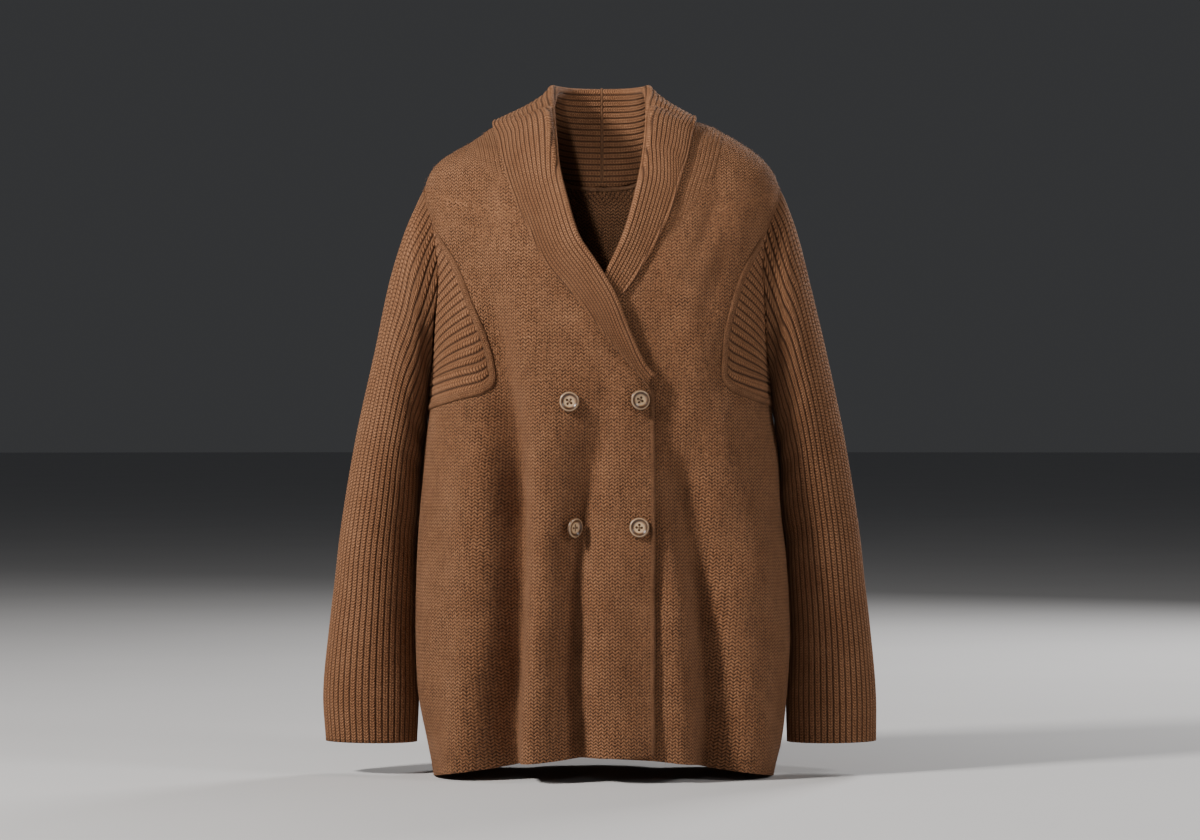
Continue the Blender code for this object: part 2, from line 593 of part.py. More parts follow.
def sleeve_rings(side):
    """The sleeve's rings, each a closed loop of points, from the armhole to the cuff."""
    turns = np.linspace(0, 2 * math.pi, 97)[:-1]
    first = []
    for turn in turns:
        angle, height = armhole(turn, side)
        place = skin(angle, height)
        normal = skin_normal(angle, height)
        centre = Vector((place.x, 0.0, 0.5 * (ARMHOLE_TOP + ARMHOLE_BOTTOM) * MM))
        inward = (centre - place) - normal * (centre - place).dot(normal)
        below = ease(math.radians(80), math.radians(125), math.pi - abs(math.pi - turn))
        first.append(place + inward.normalized() * SLEEVE_EDGE + normal * SLEEVE_LAP * below)
    rings = [np.array(first)]
    outline = np.array(SLEEVE_OUTLINE)
    for height_out, height_in, middle, ahead, behind in SLEEVE_RINGS:
        x_out = side * smooth(outline[:, 0], outline[:, 1 if side < 0 else 2], height_out) * MM
        sizes = smooth(BODY_HEIGHTS, BODY_SIZES, height_in * MM)
        half = sizes[0] if side < 0 else sizes[1]
        body = half * (1 - (middle * MM / sizes[3]) ** ROUNDNESS) ** (1 / ROUNDNESS)
        free = ease(-560, -654, height_in)
        x_in = side * ((body + SLEEVE_CLEAR * MM) * (1 - free) + CUFF_INSIDE * MM * free)
        outside = np.array((x_out, middle * MM, height_out * MM))
        inside = np.array((x_in, middle * MM, height_in * MM))
        ring = []
        for turn in turns:
            reach = ahead if math.sin(turn) > 0 else behind
            round_off = np.array((0.0, -reach * MM * math.sin(turn), 0.0))
            place = 0.5 * (outside + inside) + 0.5 * (outside - inside) * math.cos(turn) + round_off
            ring.append(set_off(Vector(place), SLEEVE_CLEAR * MM, 0.0, only_out=True))
        rings.append(np.array(ring))
    return rings


def add_sleeve(name, side):
    """A tube of lengthwise ribs, set on the armhole at its upper end and open at the cuff."""
    rings = [resample(ring, 2 * SLEEVE_RIBS, closed=True) for ring in sleeve_rings(side)]
    grid = np.array(rings if side < 0 else [np.roll(ring[::-1], 1, axis=0) for ring in rings])
    grid = grid[::-1]
    normals = grid_normals(grid, closed=True)
    centres = grid.mean(axis=1, keepdims=True)
    if np.sum(normals * (grid - centres)) < 0:
        grid = np.roll(grid[:, ::-1], 1, axis=1)
        normals = grid_normals(grid, closed=True)
    outside = grid + normals * 0.5 * RIB_WALL
    inside = grid - normals * 0.5 * RIB_WALL
    outside[:-1, 1::2] += normals[:-1, 1::2] * RIB_HEIGHT
    rib_wall(name, outside, inside[:, ::2 * SLEEVE_RIBS // SLEEVE_PLAIN], RIB, closed=True)


# ---------------------------------------------------------------- collar

def oval(place):
    """1 on the body's skin, more outside it and less inside."""
    left, right, front, back = smooth(BODY_HEIGHTS, BODY_SIZES, place.z)
    across = abs(place.x) / (right if place.x > 0 else left)
    along = abs(place.y) / (back if place.y > 0 else front)
    return (across ** ROUNDNESS + along ** ROUNDNESS) ** (1 / ROUNDNESS)


def off_skin(place):
    """How far a place lies outside the body's skin, and the way out from there."""
    step = 0.2 * MM
    here = oval(place)
    rise = Vector([(oval(place + Vector([step * (k == axis) for k in range(3)])) - here) / step
                   for axis in range(3)])
    return (here - 1) / rise.length, rise.normalized()


def set_off(place, wanted, under, only_out=False):
    """Moves a place along the way out until it lies this far off the skin, or off the lower front."""
    for _ in range(3):
        gap, out = off_skin(place)
        short = wanted - gap - under * under_share(place.x, place.z)
        if only_out and short < 0:
            return place
        place = place + out * short
    return place


def collar_row(row, k, side, under):
    """Seam, fold and edge of one row of a collar table, its roll's radius and its edge's lift."""
    back = k < COLLAR_SIDE
    roll = row[7] * MM
    if k == COLLAR_SIDE:
        seam = skin(side * math.pi / 2, row[1] * MM)
    else:
        seam = on_skin(row[0] * MM, row[1] * MM, 0.0, back, under)
    if row[4] is None:
        fold = on_skin(row[2] * MM, row[3] * MM, FOLD_LIFT + roll + row[8] * MM, under=under)
    else:
        fold = Vector((row[2] * MM, row[4] * MM, row[3] * MM))
    edge_lift = EDGE_LIFT + min(row[8], 0) * MM
    edge = on_skin(row[5] * MM, row[6] * MM, edge_lift, back, under)
    return (*seam, *fold, *edge, roll, edge_lift)


def collar_sections(table, side, under):
    """The middle line of the collar's cloth at each section, from the neck seam over the fold to the edge."""
    rows = np.array([collar_row(row, k, side, under) for k, row in enumerate(table)])
    stations = np.arange(len(table))
    sections = []
    for cut in [c for c in COLLAR_CUTS if c <= stations[-1]]:
        places = smooth(stations, rows, cut)
        seam = set_off(Vector(places[0:3]), STAND_LIFT * ease(COLLAR_SIDE + 2, COLLAR_SIDE + 6, cut), under)
        fold = Vector(places[3:6])
        edge = set_off(Vector(places[6:9]), places[10], under)
        roll = places[9]
        along = Vector(smooth(stations, rows, cut + 0.2)[3:6] - smooth(stations, rows, cut - 0.2)[3:6])
        if cut == 0:
            along = Vector((side, 0.0, 0.0))
        out = (fold - seam).cross(along).normalized()
        if out.dot(Vector((fold.x, fold.y - 20 * MM, 0.0))) < 0:
            out = -out
        up = along.cross(out).normalized()
        if up.dot(fold - seam) < 0:
            up = -up
        steep = abs(up.dot(off_skin(seam)[1]))
        start = seam + up * (STAND_GAP + STAND_GAP_STEEP * steep)
        centre = fold - up * roll
        before = centre - out * roll
        after = centre + out * roll
        follow = FALL_FOLLOW - FALL_EASE * ease(2, 4, cut) * (1 - ease(COLLAR_SIDE + 2, COLLAR_SIDE + 5, cut))
        bend = after - up * follow * (after - edge).length
        stand = [start.lerp(before, t) for t in np.linspace(0, 1, STAND_STEPS + 1)]
        turned = []
        for step in range(1, ROLL_STEPS):
            turn = math.pi * step / ROLL_STEPS
            turned.append(centre - out * roll * math.cos(turn) + up * roll * math.sin(turn))
        fall = []
        for t in np.linspace(0, 1, FALL_STEPS + 1):
            place = after * (1 - t) ** 2 + bend * 2 * t * (1 - t) + edge * t ** 2
            if place.z < 12 * MM:
                place = set_off(place, places[10], under, only_out=True)
            fall.append(place)
        sections.append(np.array(stand + turned + fall))
    return sections


def add_collar(name, side, table, under):
    sections = np.array(collar_sections(table, side, under))
    sections[0, :, 0] = side * SEAM
    normals = grid_normals(sections)
    towards_neck = Vector((0.0, -1.0, 0.0))
    if Vector(normals[0, STAND_STEPS // 2]).dot(towards_neck) < 0:
        sections = sections[::-1]
        normals = -grid_normals(sections[::-1])[::-1]
    normals[0 if sections[0, 0, 1] > 0 and abs(sections[0, 0, 0]) < 1 * MM else -1, :, 0] = 0.0
    normals /= np.linalg.norm(normals, axis=2, keepdims=True)
    outside = sections + normals * 0.5 * RIB_WALL
    inside = sections - normals * 0.5 * RIB_WALL
    pitch = np.linalg.norm(np.gradient(sections, axis=1), axis=2, keepdims=True)
    outside[:, 1::2] += (normals * np.minimum(RIB_HEIGHT, 0.7 * pitch))[:, 1::2]
    ratio = (STAND_STEPS + ROLL_STEPS + FALL_STEPS) // COLLAR_PLAIN
    rib_wall(name, outside, inside[:, ::ratio], RIB)
    return sections


# ---------------------------------------------------------------- seams, edge and buttons

def add_front_edge():
    """The narrow rolled edge down the left front, from the collar's point to the hem."""
    places = []
    normals = []
    for height in np.linspace(-289, -659, 16) * MM:
        x = (FRONT_EDGE - 2.4) * MM
        angle = angle_of_x(x, height)
        normal = skin_normal(angle, height)
        places.append(skin(angle, height) + normal * (0.5 * BODY_WALL + CLEAR))
        normals.append(normal)
    add_strip("front_edge", places, normals, 2.2 * MM, 1.5 * MM, CLOTH)


def add_neck_seam():
    """The rolled seam inside the back neck, over the joint of the collar and the back."""
    places = []
    normals = []
    for x_in, height_in in ((-56, -33), (-50, -45), (-42, -55), (-32, -60), (-16, -62), (0, -63), (16, -62),
                            (32, -60), (42, -55), (50, -45), (56, -33)):
        angle = angle_of_x(x_in * MM, height_in * MM, back=True)
        normal = -skin_normal(angle, height_in * MM)
        places.append(skin(angle, height_in * MM) + normal * 2.2 * MM)
        normals.append(normal)
    add_strip("neck_seam", places, normals, 2.2 * MM, 2.4 * MM, CLOTH)


def add_collar_seam(section):
    """The raised seam that joins the collar's halves, up the inside of the stand."""
    run = section[1:STAND_STEPS - 1].copy()
    run[:, 0] = 0.0
    along = np.gradient(run, axis=0)
    normals = np.cross((1.0, 0.0, 0.0), along)
    normals /= np.linalg.norm(normals, axis=1, keepdims=True)
    normals *= -np.sign(normals[:, 1:2])
    lift = 0.5 * RIB_WALL + RIB_HEIGHT + CLEAR
    add_strip("collar_seam", run[::2] + normals[::2] * lift, normals[::2], 1.6 * MM, 1.2 * MM, RIB)


def button_mesh():
    """A turned button with a raised rim, a dished face and four holes."""
    radius = BUTTON_RADIUS
    thick = BUTTON_THICK
    profile = ((0, thick * 0.62), (0.55 * radius, thick * 0.64), (0.74 * radius, thick * 0.98),
               (0.86 * radius, thick), (radius, thick * 0.62), (0.9 * radius, 0.1 * thick),
               (0.7 * radius, 0), (0, 0))
    outline = bpy.data.meshes.new("button_outline")
    outline.from_pydata([(x, 0, z) for x, z in profile], [(k, k + 1) for k in range(len(profile) - 1)], [])
    turned = bpy.data.objects.new("button_turned", outline)
    CUTTERS.objects.link(turned)
    screw = turned.modifiers.new("turn", "SCREW")
    screw.axis = "Z"
    screw.steps = BUTTON_STEPS
    screw.render_steps = BUTTON_STEPS
    screw.use_merge_vertices = True
    screw.merge_threshold = 0.00001
    holes = bmesh.new()
    for k in range(4):
        turn = math.radians(45 + 90 * k)
        made = bmesh.ops.create_cone(holes, cap_ends=True, segments=6, radius1=BUTTON_HOLE, radius2=BUTTON_HOLE,
                                     depth=3 * thick)
        away = Vector((math.cos(turn), math.sin(turn), 0.0)) * BUTTON_HOLE_OUT
        bmesh.ops.translate(holes, verts=made["verts"], vec=away)
    drill_mesh = bpy.data.meshes.new("button_drill")
    holes.to_mesh(drill_mesh)
    holes.free()
    drill = bpy.data.objects.new("button_drill", drill_mesh)
    drill.display_type = "WIRE"
    drill.hide_render = True
    CUTTERS.objects.link(drill)
    cut = turned.modifiers.new("holes", "BOOLEAN")
    cut.object = drill
    cut.operation = "DIFFERENCE"
    mesh = bpy.data.meshes.new_from_object(turned.evaluated_get(bpy.context.evaluated_depsgraph_get()))
    mesh.name = "button"
    bpy.data.objects.remove(turned)
    bpy.data.objects.remove(drill)
    mesh.materials.clear()
    mesh.materials.append(HORN)
    return mesh


def add_buttons():
    mesh = button_mesh()
    for number, (x, height) in enumerate(BUTTONS, 1):
        made = bpy.data.objects.new(f"button_{number}", mesh)
        angle = angle_of_x(x * MM, height * MM)
        spread = []
        for turn in range(0, 360, 30):
            across = BUTTON_SEAT * math.cos(math.radians(turn))
            along = BUTTON_SEAT * math.sin(math.radians(turn))
            spread.append(on_skin(x * MM + across, height * MM + along))
        normal = (spread[0] - spread[6]).cross(spread[3] - spread[9]).normalized()
        base = skin(angle, height * MM)
        crown = max((place - base).dot(normal) for place in spread + [base])
        made.location = base + normal * (crown + 0.5 * BODY_WALL + CLEAR)
        made.rotation_euler = normal.to_track_quat("Z", "Y").to_euler()
        COAT.objects.link(made)


clear_scene()
COAT = bpy.data.collections.new("knit_coat")
bpy.context.scene.collection.children.link(COAT)
CUTTERS = bpy.data.collections.new("cutters")
bpy.context.scene.collection.children.link(CUTTERS)
CLOTH = material("brushed_jersey", CLOTH_COLOUR, 0.9)
RIB = material("rib_knit", RIB_COLOUR, 0.85)
HORN = material("horn", HORN_COLOUR, 0.35)

add_back()
add_fronts()
for side_name, side_sign, seam_table in (("left", -1, GUSSET_SEAM_LEFT), ("right", 1, GUSSET_SEAM_RIGHT)):
    add_gusset(f"gusset_{side_name}", side_sign, seam_table)
    add_welt(f"welt_{side_name}", side_sign, seam_table)
    add_sleeve(f"sleeve_{side_name}", side_sign)
left_sections = collar_sections(COLLAR_LEFT, -1, 0.0)
add_collar("collar_left", -1, COLLAR_LEFT, 0.0)
add_collar("collar_right", 1, COLLAR_RIGHT, UNDER_INSET)
add_collar_seam(left_sections[0])
add_neck_seam()
add_front_edge()
add_buttons()
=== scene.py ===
"""The looks of a double-breasted knit coat, filled out as when it is worn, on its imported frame.

Everything is in metres, in the frame's own place: the front faces -Y and up is +Z. Left and right are as
seen from the front. The sections follow the coat as it is put together.
"""
import math

import bmesh
import bpy
import numpy as np
from mathutils import Matrix, Vector


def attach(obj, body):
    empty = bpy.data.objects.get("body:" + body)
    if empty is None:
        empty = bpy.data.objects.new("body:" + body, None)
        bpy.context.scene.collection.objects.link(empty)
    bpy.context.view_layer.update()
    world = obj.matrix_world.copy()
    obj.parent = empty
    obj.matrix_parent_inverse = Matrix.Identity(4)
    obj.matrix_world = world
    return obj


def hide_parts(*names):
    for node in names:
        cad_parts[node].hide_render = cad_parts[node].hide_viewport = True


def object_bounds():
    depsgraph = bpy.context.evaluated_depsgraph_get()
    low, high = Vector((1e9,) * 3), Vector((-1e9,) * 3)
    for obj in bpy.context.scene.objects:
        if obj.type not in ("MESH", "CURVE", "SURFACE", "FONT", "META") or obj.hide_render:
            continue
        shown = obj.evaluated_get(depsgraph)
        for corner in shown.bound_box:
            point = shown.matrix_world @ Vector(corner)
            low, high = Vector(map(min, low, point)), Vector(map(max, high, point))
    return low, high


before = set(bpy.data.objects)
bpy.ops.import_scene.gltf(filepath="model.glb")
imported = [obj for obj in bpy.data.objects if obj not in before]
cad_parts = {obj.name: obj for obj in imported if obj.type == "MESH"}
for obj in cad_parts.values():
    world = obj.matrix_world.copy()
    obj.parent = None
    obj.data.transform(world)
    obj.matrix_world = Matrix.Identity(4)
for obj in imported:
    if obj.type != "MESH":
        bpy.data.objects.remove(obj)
cad_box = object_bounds()

# ---------------------------------------------------------------- back
# The back is one panel of fine brushed jersey, knitted from the hem up to the shoulders. It hangs in three
# long soft folds. Every other piece of the body lies on the same skin, so its shape is worked out here.

MM = 0.001
BODY_WALL = 2.6 * MM
ROUNDNESS = 2.3           # power of the body's oval sections: 2 is an ellipse
SEAM = 0.3 * MM

# height, half width left, half width right, depth to the front, depth to the back, in mm
BODY_SECTIONS = np.array((
    (-700, 175, 178, 112, 104),
    (-679, 178, 182, 115, 107),
    (-655, 183, 188, 118, 110),
    (-607, 192, 194, 120, 112),
    (-560, 195.5, 197, 121, 113),
    (-511, 196, 197, 121, 112),
    (-461, 195, 194, 120, 110),
    (-413, 192, 189, 119, 108),
    (-340, 186, 184, 121, 105),
    (-300, 181, 178.5, 122, 105),
    (-254, 181, 176, 121, 106),
    (-199, 182, 176, 117, 106),
    (-154, 183, 177, 110, 104),
    (-114, 184, 181, 102, 100),
    (-70, 187, 187, 90, 92),
    (-41, 172, 172, 80, 83),
    (-14, 128, 134, 68, 73),
    (-2, 110, 110, 62, 67),
    (4, 90, 90, 57, 62),
    (9.5, 72.5, 72.5, 50, 56),
    (16, 50, 50, 38, 44),
)) * MM

# Folds and creases, in mm: side, x and height of the top, the middle and the lower end,
# spread to the left and to the right, how far out (below zero: in) at the top, the middle and the low end
FOLDS = (
    ("front", -131, -128, -94, -350, -103, -700, 17, 12, -5, -32, -42),
    ("front", -58, -280, -68, -460, -72, -700, 13, 15, 2, 11, 14),
    ("front", 4, -292, -18, -405, -24, -700, 13, 10, -4, -18, -27),
    ("front", 74, -310, 108, -498, 124, -700, 17, 12, -4, -26, -35),
    ("front", 62, -340, 76, -510, 82, -700, 12, 13, 1, 9, 11),
    ("front", -150, -290, -142, -450, -148, -700, 14, 13, 0, 5, 8),
    ("front", 150, -320, 158, -500, 160, -700, 16, 14, 0, 6, 8),
    ("front", 24, -330, 18, -480, 14, -700, 12, 16, 0, 3, 5),
    ("front", -118, -88, -110, -150, -96, -215, 7, 9, -2, -3.2, -1),
    ("front", -96, -84, -86, -160, -70, -250, 9, 10, 1, 2.2, 1),
    ("front", 122, -76, 106, -120, 78, -190, 7, 7, -2, -2.6, -1),
    ("front", 132, -120, 118, -170, 98, -235, 7, 8, -1, -2.2, -1),
    ("front", 96, -150, 80, -200, 66, -262, 9, 9, 1, 2.2, 1),
    ("front", -40, -196, -20, -240, 8, -280, 9, 8, -1, -2.4, -1),
    ("front", -72, -210, -58, -262, -40, -318, 9, 9, 1, 2, 1),
    ("front", -14, -306, 0, -352, 6, -412, 8, 9, -1, -2.4, -1),
    ("front", 108, -300, 96, -350, 84, -420, 9, 11, -1, -2.6, -1),
    ("back", -62, -230, -72, -450, -78, -700, 18, 15, -2, -11, -17),
    ("back", 60, -210, 66, -430, 74, -700, 15, 18, -2, -12, -18),
    ("back", -2, -280, 4, -480, 2, -700, 20, 20, 1, 5, 9),
    ("back", -132, -260, -134, -460, -136, -700, 16, 14, 0, 5, 6),
    ("back", 128, -240, 130, -480, 136, -700, 15, 16, 0, 5, 7),
    ("back", -110, -100, -92, -170, -74, -240, 9, 9, -1, -3, -1),
    ("back", 112, -96, 98, -160, 84, -226, 8, 10, -1, -2.6, -1),
    ("back", -30, -110, -34, -190, -44, -260, 12, 12, 1, 2.2, 1),
    ("back", 36, -120, 40, -200, 46, -280, 12, 11, 1, 2, 1),
)
FOLD_FADE = 45 * MM       # height over which a fold dies out past its end
HEM_END = -690 * MM       # a fold whose low end is below this runs out over the hem
# Slow waves of the hanging cloth: length across, length down, start, height, in mm
WAVES = ((97, 310, 0.4, 1.1), (61, -190, 2.1, 0.7), (43, 150, 4.0, 0.45), (150, -95, 1.2, 0.8))
WAVES_FADE = (-120 * MM, -60 * MM)      # the heights between which the waves die out
# Where the right front comes up from under the left one, across and up the body
UNDER_FADE_X = (62 * MM, 100 * MM)
UNDER_FADE_HEIGHT = (-150 * MM, -95 * MM)
ARMHOLE_TOP = -69
ARMHOLE_BOTTOM = -275
ARMHOLE_FRONT = 46
ARMHOLE_BACK = 50

# height at the side seam, x and height at the middle of the back, in mm
BACK_SIDE_ROWS = ((-687, 0, -676), (-650, 0, -640), (-605, 0, -598), (-555, 0, -550), (-505, 0, -500),
                  (-455, 0, -450), (-405, 0, -400), (-355, 0, -350), (-310, 0, -302))
# degrees round the armhole, x and height at the back's middle or its neck edge
BACK_ARMHOLE_ROWS = ((180, 0, -268), (165, 0, -246), (150, 0, -224), (135, 0, -202), (120, 0, -180),
                     (105, 0, -158), (90, 0, -136), (75, 0, -115), (60, 0, -95), (45, 0, -77), (30, 0, -62),
                     (15, 22, -61), (0, 42, -54))
BACK_SHOULDER_ROWS = ((-50, 52, -42), (-30, 56, -31), (-12, 61, -19), (-1, 66, -8), (5, 69, 3),
                      (9.5, 70, 9.5))
BACK_COLUMNS = 58
BACK_STEPS = 7            # fine rows for each row of the tables


def smooth(stations, values, at):
    """A smooth curve through a table's rows, read at any number of places."""
    stations = np.asarray(stations, float)
    values = np.asarray(values, float)
    at = np.clip(np.asarray(at, float), stations[0], stations[-1])
    slopes = np.gradient(values, stations, axis=0)
    row = np.clip(np.searchsorted(stations, at, side="right") - 1, 0, len(stations) - 2)
    step = stations[row + 1] - stations[row]
    t = (at - stations[row]) / step
    if values.ndim > 1:
        wide = (...,) + (None,) * (values.ndim - 1)
        t, step = t[wide], step[wide]
    return ((2 * t ** 3 - 3 * t ** 2 + 1) * values[row] + (t ** 3 - 2 * t ** 2 + t) * step * slopes[row]
            + (3 * t ** 2 - 2 * t ** 3) * values[row + 1] + (t ** 3 - t ** 2) * step * slopes[row + 1])


def ease(start, end, value):
    """0 before start, 1 after end, and a soft step between them."""
    t = np.clip((np.asarray(value, float) - start) / (end - start), 0.0, 1.0)
    return t * t * (3 - 2 * t)


def fold_out(side, x, height):
    """How far the folds push the cloth out at places on one side of the body."""
    total = np.zeros_like(x)
    for row in FOLDS:
        if row[0] != side:
            continue
        x_top, z_top, x_mid, z_mid, x_low, z_low, left, right = np.array(row[1:9]) * MM
        out_top, out_mid, out_low = np.array(row[9:]) * MM
        stations = (z_low, z_mid, z_top)
        middle = smooth(stations, (x_low, x_mid, x_top), height)
        out = smooth(stations, (out_low, out_mid, out_top), height)
        out = out * (1 - ease(z_top, z_top + FOLD_FADE, height))
        if z_low > HEM_END:
            out = out * ease(z_low - FOLD_FADE, z_low, height)
        away = x - middle
        total += out * np.exp(-0.5 * (away / np.where(away < 0, left, right)) ** 2)
    for across, down, start, high in WAVES:
        wave = np.sin(x / (across * MM) * math.tau + height / (down * MM) * math.tau + start)
        total += high * MM * wave * (1 - ease(*WAVES_FADE, height))
    return total


def under_share(x, height):
    """1 where the right front lies under the left one, and 0 where it has come up to the body's skin."""
    return (1 - ease(*UNDER_FADE_X, x)) * (1 - ease(*UNDER_FADE_HEIGHT, height))


def skin(angle, height, under=0.0, folds=True):
    """Points in the middle of the body's cloth: angle 0 at the front, minus left and plus right of it."""
    angle, height = np.broadcast_arrays(np.asarray(angle, float), np.asarray(height, float))
    left, right, front, back = np.moveaxis(smooth(BODY_SECTIONS[:, 0], BODY_SECTIONS[:, 1:], height), -1, 0)
    across, along = np.sin(angle), np.cos(angle)
    half = np.where(across > 0, right, left)
    depth = np.where(along > 0, front, back)
    x = half * np.sign(across) * np.abs(across) ** (2 / ROUNDNESS)
    y = -depth * np.sign(along) * np.abs(along) ** (2 / ROUNDNESS)
    place = np.stack((x, y, height), -1)
    if not folds:
        return place
    out = np.stack((across / half, -along / depth, np.zeros_like(x)), -1)
    out /= np.linalg.norm(out, axis=-1, keepdims=True)
    push = np.where(along > 0, fold_out("front", x, height), fold_out("back", x, height))
    push = push * np.minimum(1.0, 3 * np.abs(along)) - under * under_share(x, height)
    return place + out * push[..., None]


def skin_normal(angle, height, under=0.0):
    """The outward normals of the body's skin."""
    turn = skin(angle + 0.004, height, under) - skin(angle - 0.004, height, under)
    rise = skin(angle, height + 1.5 * MM, under) - skin(angle, height - 1.5 * MM, under)
    out = np.cross(turn, rise)
    return out / np.linalg.norm(out, axis=-1, keepdims=True)


def angle_of_x(x, height, back=False):
    """The angle at which the skin has this x at this height, on the front or on the back."""
    left, right = smooth(BODY_SECTIONS[:, 0], BODY_SECTIONS[:, 1:3], height)
    share = min(abs(x) / (right if x > 0 else left), 1.0)
    angle = math.copysign(math.asin(share ** (ROUNDNESS / 2)), x)
    return math.copysign(math.pi, angle if angle else 1.0) - angle if back else angle


def on_skin(x, height, out=0.0, back=False, under=0.0):
    """The point of the skin at an x and a height, moved out along its normal."""
    angle = angle_of_x(x, height, back)
    return skin(angle, height, under) + skin_normal(angle, height, under) * out


def armhole(turn, side):
    """Angle and height of the armhole's edge: turn 0 at the shoulder, a quarter turn at the front."""
    middle = 0.5 * (ARMHOLE_TOP + ARMHOLE_BOTTOM) * MM
    height = middle + 0.5 * (ARMHOLE_TOP - ARMHOLE_BOTTOM) * MM * math.cos(turn)
    reach = ARMHOLE_FRONT if math.sin(turn) > 0 else ARMHOLE_BACK
    front, back = smooth(BODY_SECTIONS[:, 0], BODY_SECTIONS[:, 3:], height)
    depth = front if math.sin(turn) > 0 else back
    from_middle = math.acos(min(reach * MM * abs(math.sin(turn)) / depth, 1.0) ** (ROUNDNESS / 2))
    return side * (from_middle if math.sin(turn) > 0 else math.pi - from_middle), height


def armhole_at(height, side):
    """Angle of the armhole's front edge at a height."""
    middle = 0.5 * (ARMHOLE_TOP + ARMHOLE_BOTTOM)
    share = (height / MM - middle) / (0.5 * (ARMHOLE_TOP - ARMHOLE_BOTTOM))
    return armhole(math.acos(min(max(share, -1.0), 1.0)), side)[0]


# Lengths measured on the smooth body, so that the stitches keep their size on the cloth
MAP_AROUND = 240
MAP_UP = 184
MAP_ANGLES = np.linspace(-math.pi, math.pi, MAP_AROUND + 1)
MAP_HEIGHTS = np.linspace(-720, 16, MAP_UP + 1) * MM
map_points = skin(MAP_ANGLES[:, None], MAP_HEIGHTS[None, :], folds=False)
map_across = np.linalg.norm(np.diff(map_points, axis=0), axis=2)
map_across = np.concatenate((np.zeros((1, len(MAP_HEIGHTS))), np.cumsum(map_across, axis=0)))
map_across -= map_across[MAP_AROUND // 2]
map_up = np.linalg.norm(np.diff(map_points, axis=1), axis=2)
map_up = np.concatenate((np.zeros((len(MAP_ANGLES), 1)), np.cumsum(map_up, axis=1)), axis=1)


def cloth_place(angle, height):
    """How far across and how far up the knitting a place of the body's skin is."""
    a = np.clip((angle + math.pi) / math.tau * MAP_AROUND, 0, MAP_AROUND - 0.001)
    h = (height - MAP_HEIGHTS[0]) / (MAP_HEIGHTS[-1] - MAP_HEIGHTS[0]) * MAP_UP
    h = np.clip(h, 0, MAP_UP - 0.001)
    i, j = a.astype(int), h.astype(int)
    s, t = a - i, h - j
    found = []
    for table in (map_across, map_up):
        low = table[i, j] * (1 - s) + table[i + 1, j] * s
        high = table[i, j + 1] * (1 - s) + table[i + 1, j + 1] * s
        found.append(low * (1 - t) + high * t)
    return np.stack(found, -1)


def finer(rows, steps):
    """More rows on a smooth surface through the rows of a grid."""
    rows = np.asarray(rows, float)
    return smooth(np.arange(len(rows)), rows, np.linspace(0, len(rows) - 1, (len(rows) - 1) * steps + 1))


def patch(outer_edge, inner_edge, columns):
    """A grid of (angle, height) between two edges. Each row is level at both of them."""
    outer = np.asarray(outer_edge, float)[:, None, :]
    inner = np.asarray(inner_edge, float)[:, None, :]
    share = np.linspace(0, 1, columns + 1)
    lift = np.sin(0.5 * math.pi * share) ** 2
    return outer + (inner - outer) * np.stack((share, lift), -1)[None]


def grid_normals(grid, closed=False):
    """Normals of a grid of points: rows run along the piece, columns across it."""
    along = np.gradient(grid, axis=0)
    across = np.gradient(grid, axis=1)
    if closed:
        across = np.roll(grid, -1, axis=1) - np.roll(grid, 1, axis=1)
    normal = np.cross(across, along)
    return normal / np.maximum(np.linalg.norm(normal, axis=2, keepdims=True), 1e-12)


def pull_in(grid, borders, distance):
    """Moves the points of some borders inwards, so that pieces stop short of their shared seams."""
    normal = grid_normals(grid)
    along = np.gradient(grid, axis=0)
    across = np.gradient(grid, axis=1)
    moved = grid.copy()
    for border, edge, run, sign in (("first_row", np.s_[0, :], across, 1),
                                    ("last_row", np.s_[-1, :], across, -1),
                                    ("first_column", np.s_[:, 0], along, -1),
                                    ("last_column", np.s_[:, -1], along, 1)):
        if border in borders:
            inward = np.cross(normal[edge], run[edge]) * sign
            moved[edge] += distance * inward / np.linalg.norm(inward, axis=1, keepdims=True)
    return moved


def grid_faces(rows, columns, first=0, closed=False):
    """Quads between the points of a grid, and the grid place of each of their corners."""
    wide = columns if closed else columns - 1
    r, c = np.meshgrid(np.arange(rows - 1), np.arange(wide), indexing="ij")
    corners = [(r, c), (r, c + 1), (r + 1, c + 1), (r + 1, c)]
    faces = np.stack([first + a * columns + b % columns for a, b in corners], -1).reshape(-1, 4)
    places = np.stack([a * (wide + 1) + b for a, b in corners], -1).reshape(-1, 4)
    return faces, places


def add_mesh(name, points, faces, places=None):
    """A smooth-shaded object from points and faces, with a map of where each corner is on the knitting."""
    mesh = bpy.data.meshes.new(name)
    mesh.from_pydata(np.asarray(points).tolist(), [], faces)
    if places is not None:
        layer = mesh.uv_layers.new(name="knitting")
        layer.data.foreach_set("uv", np.asarray(places, float).ravel())
    mesh.shade_smooth()
    made = bpy.data.objects.new(name, mesh)
    bpy.context.scene.collection.objects.link(made)
    return made


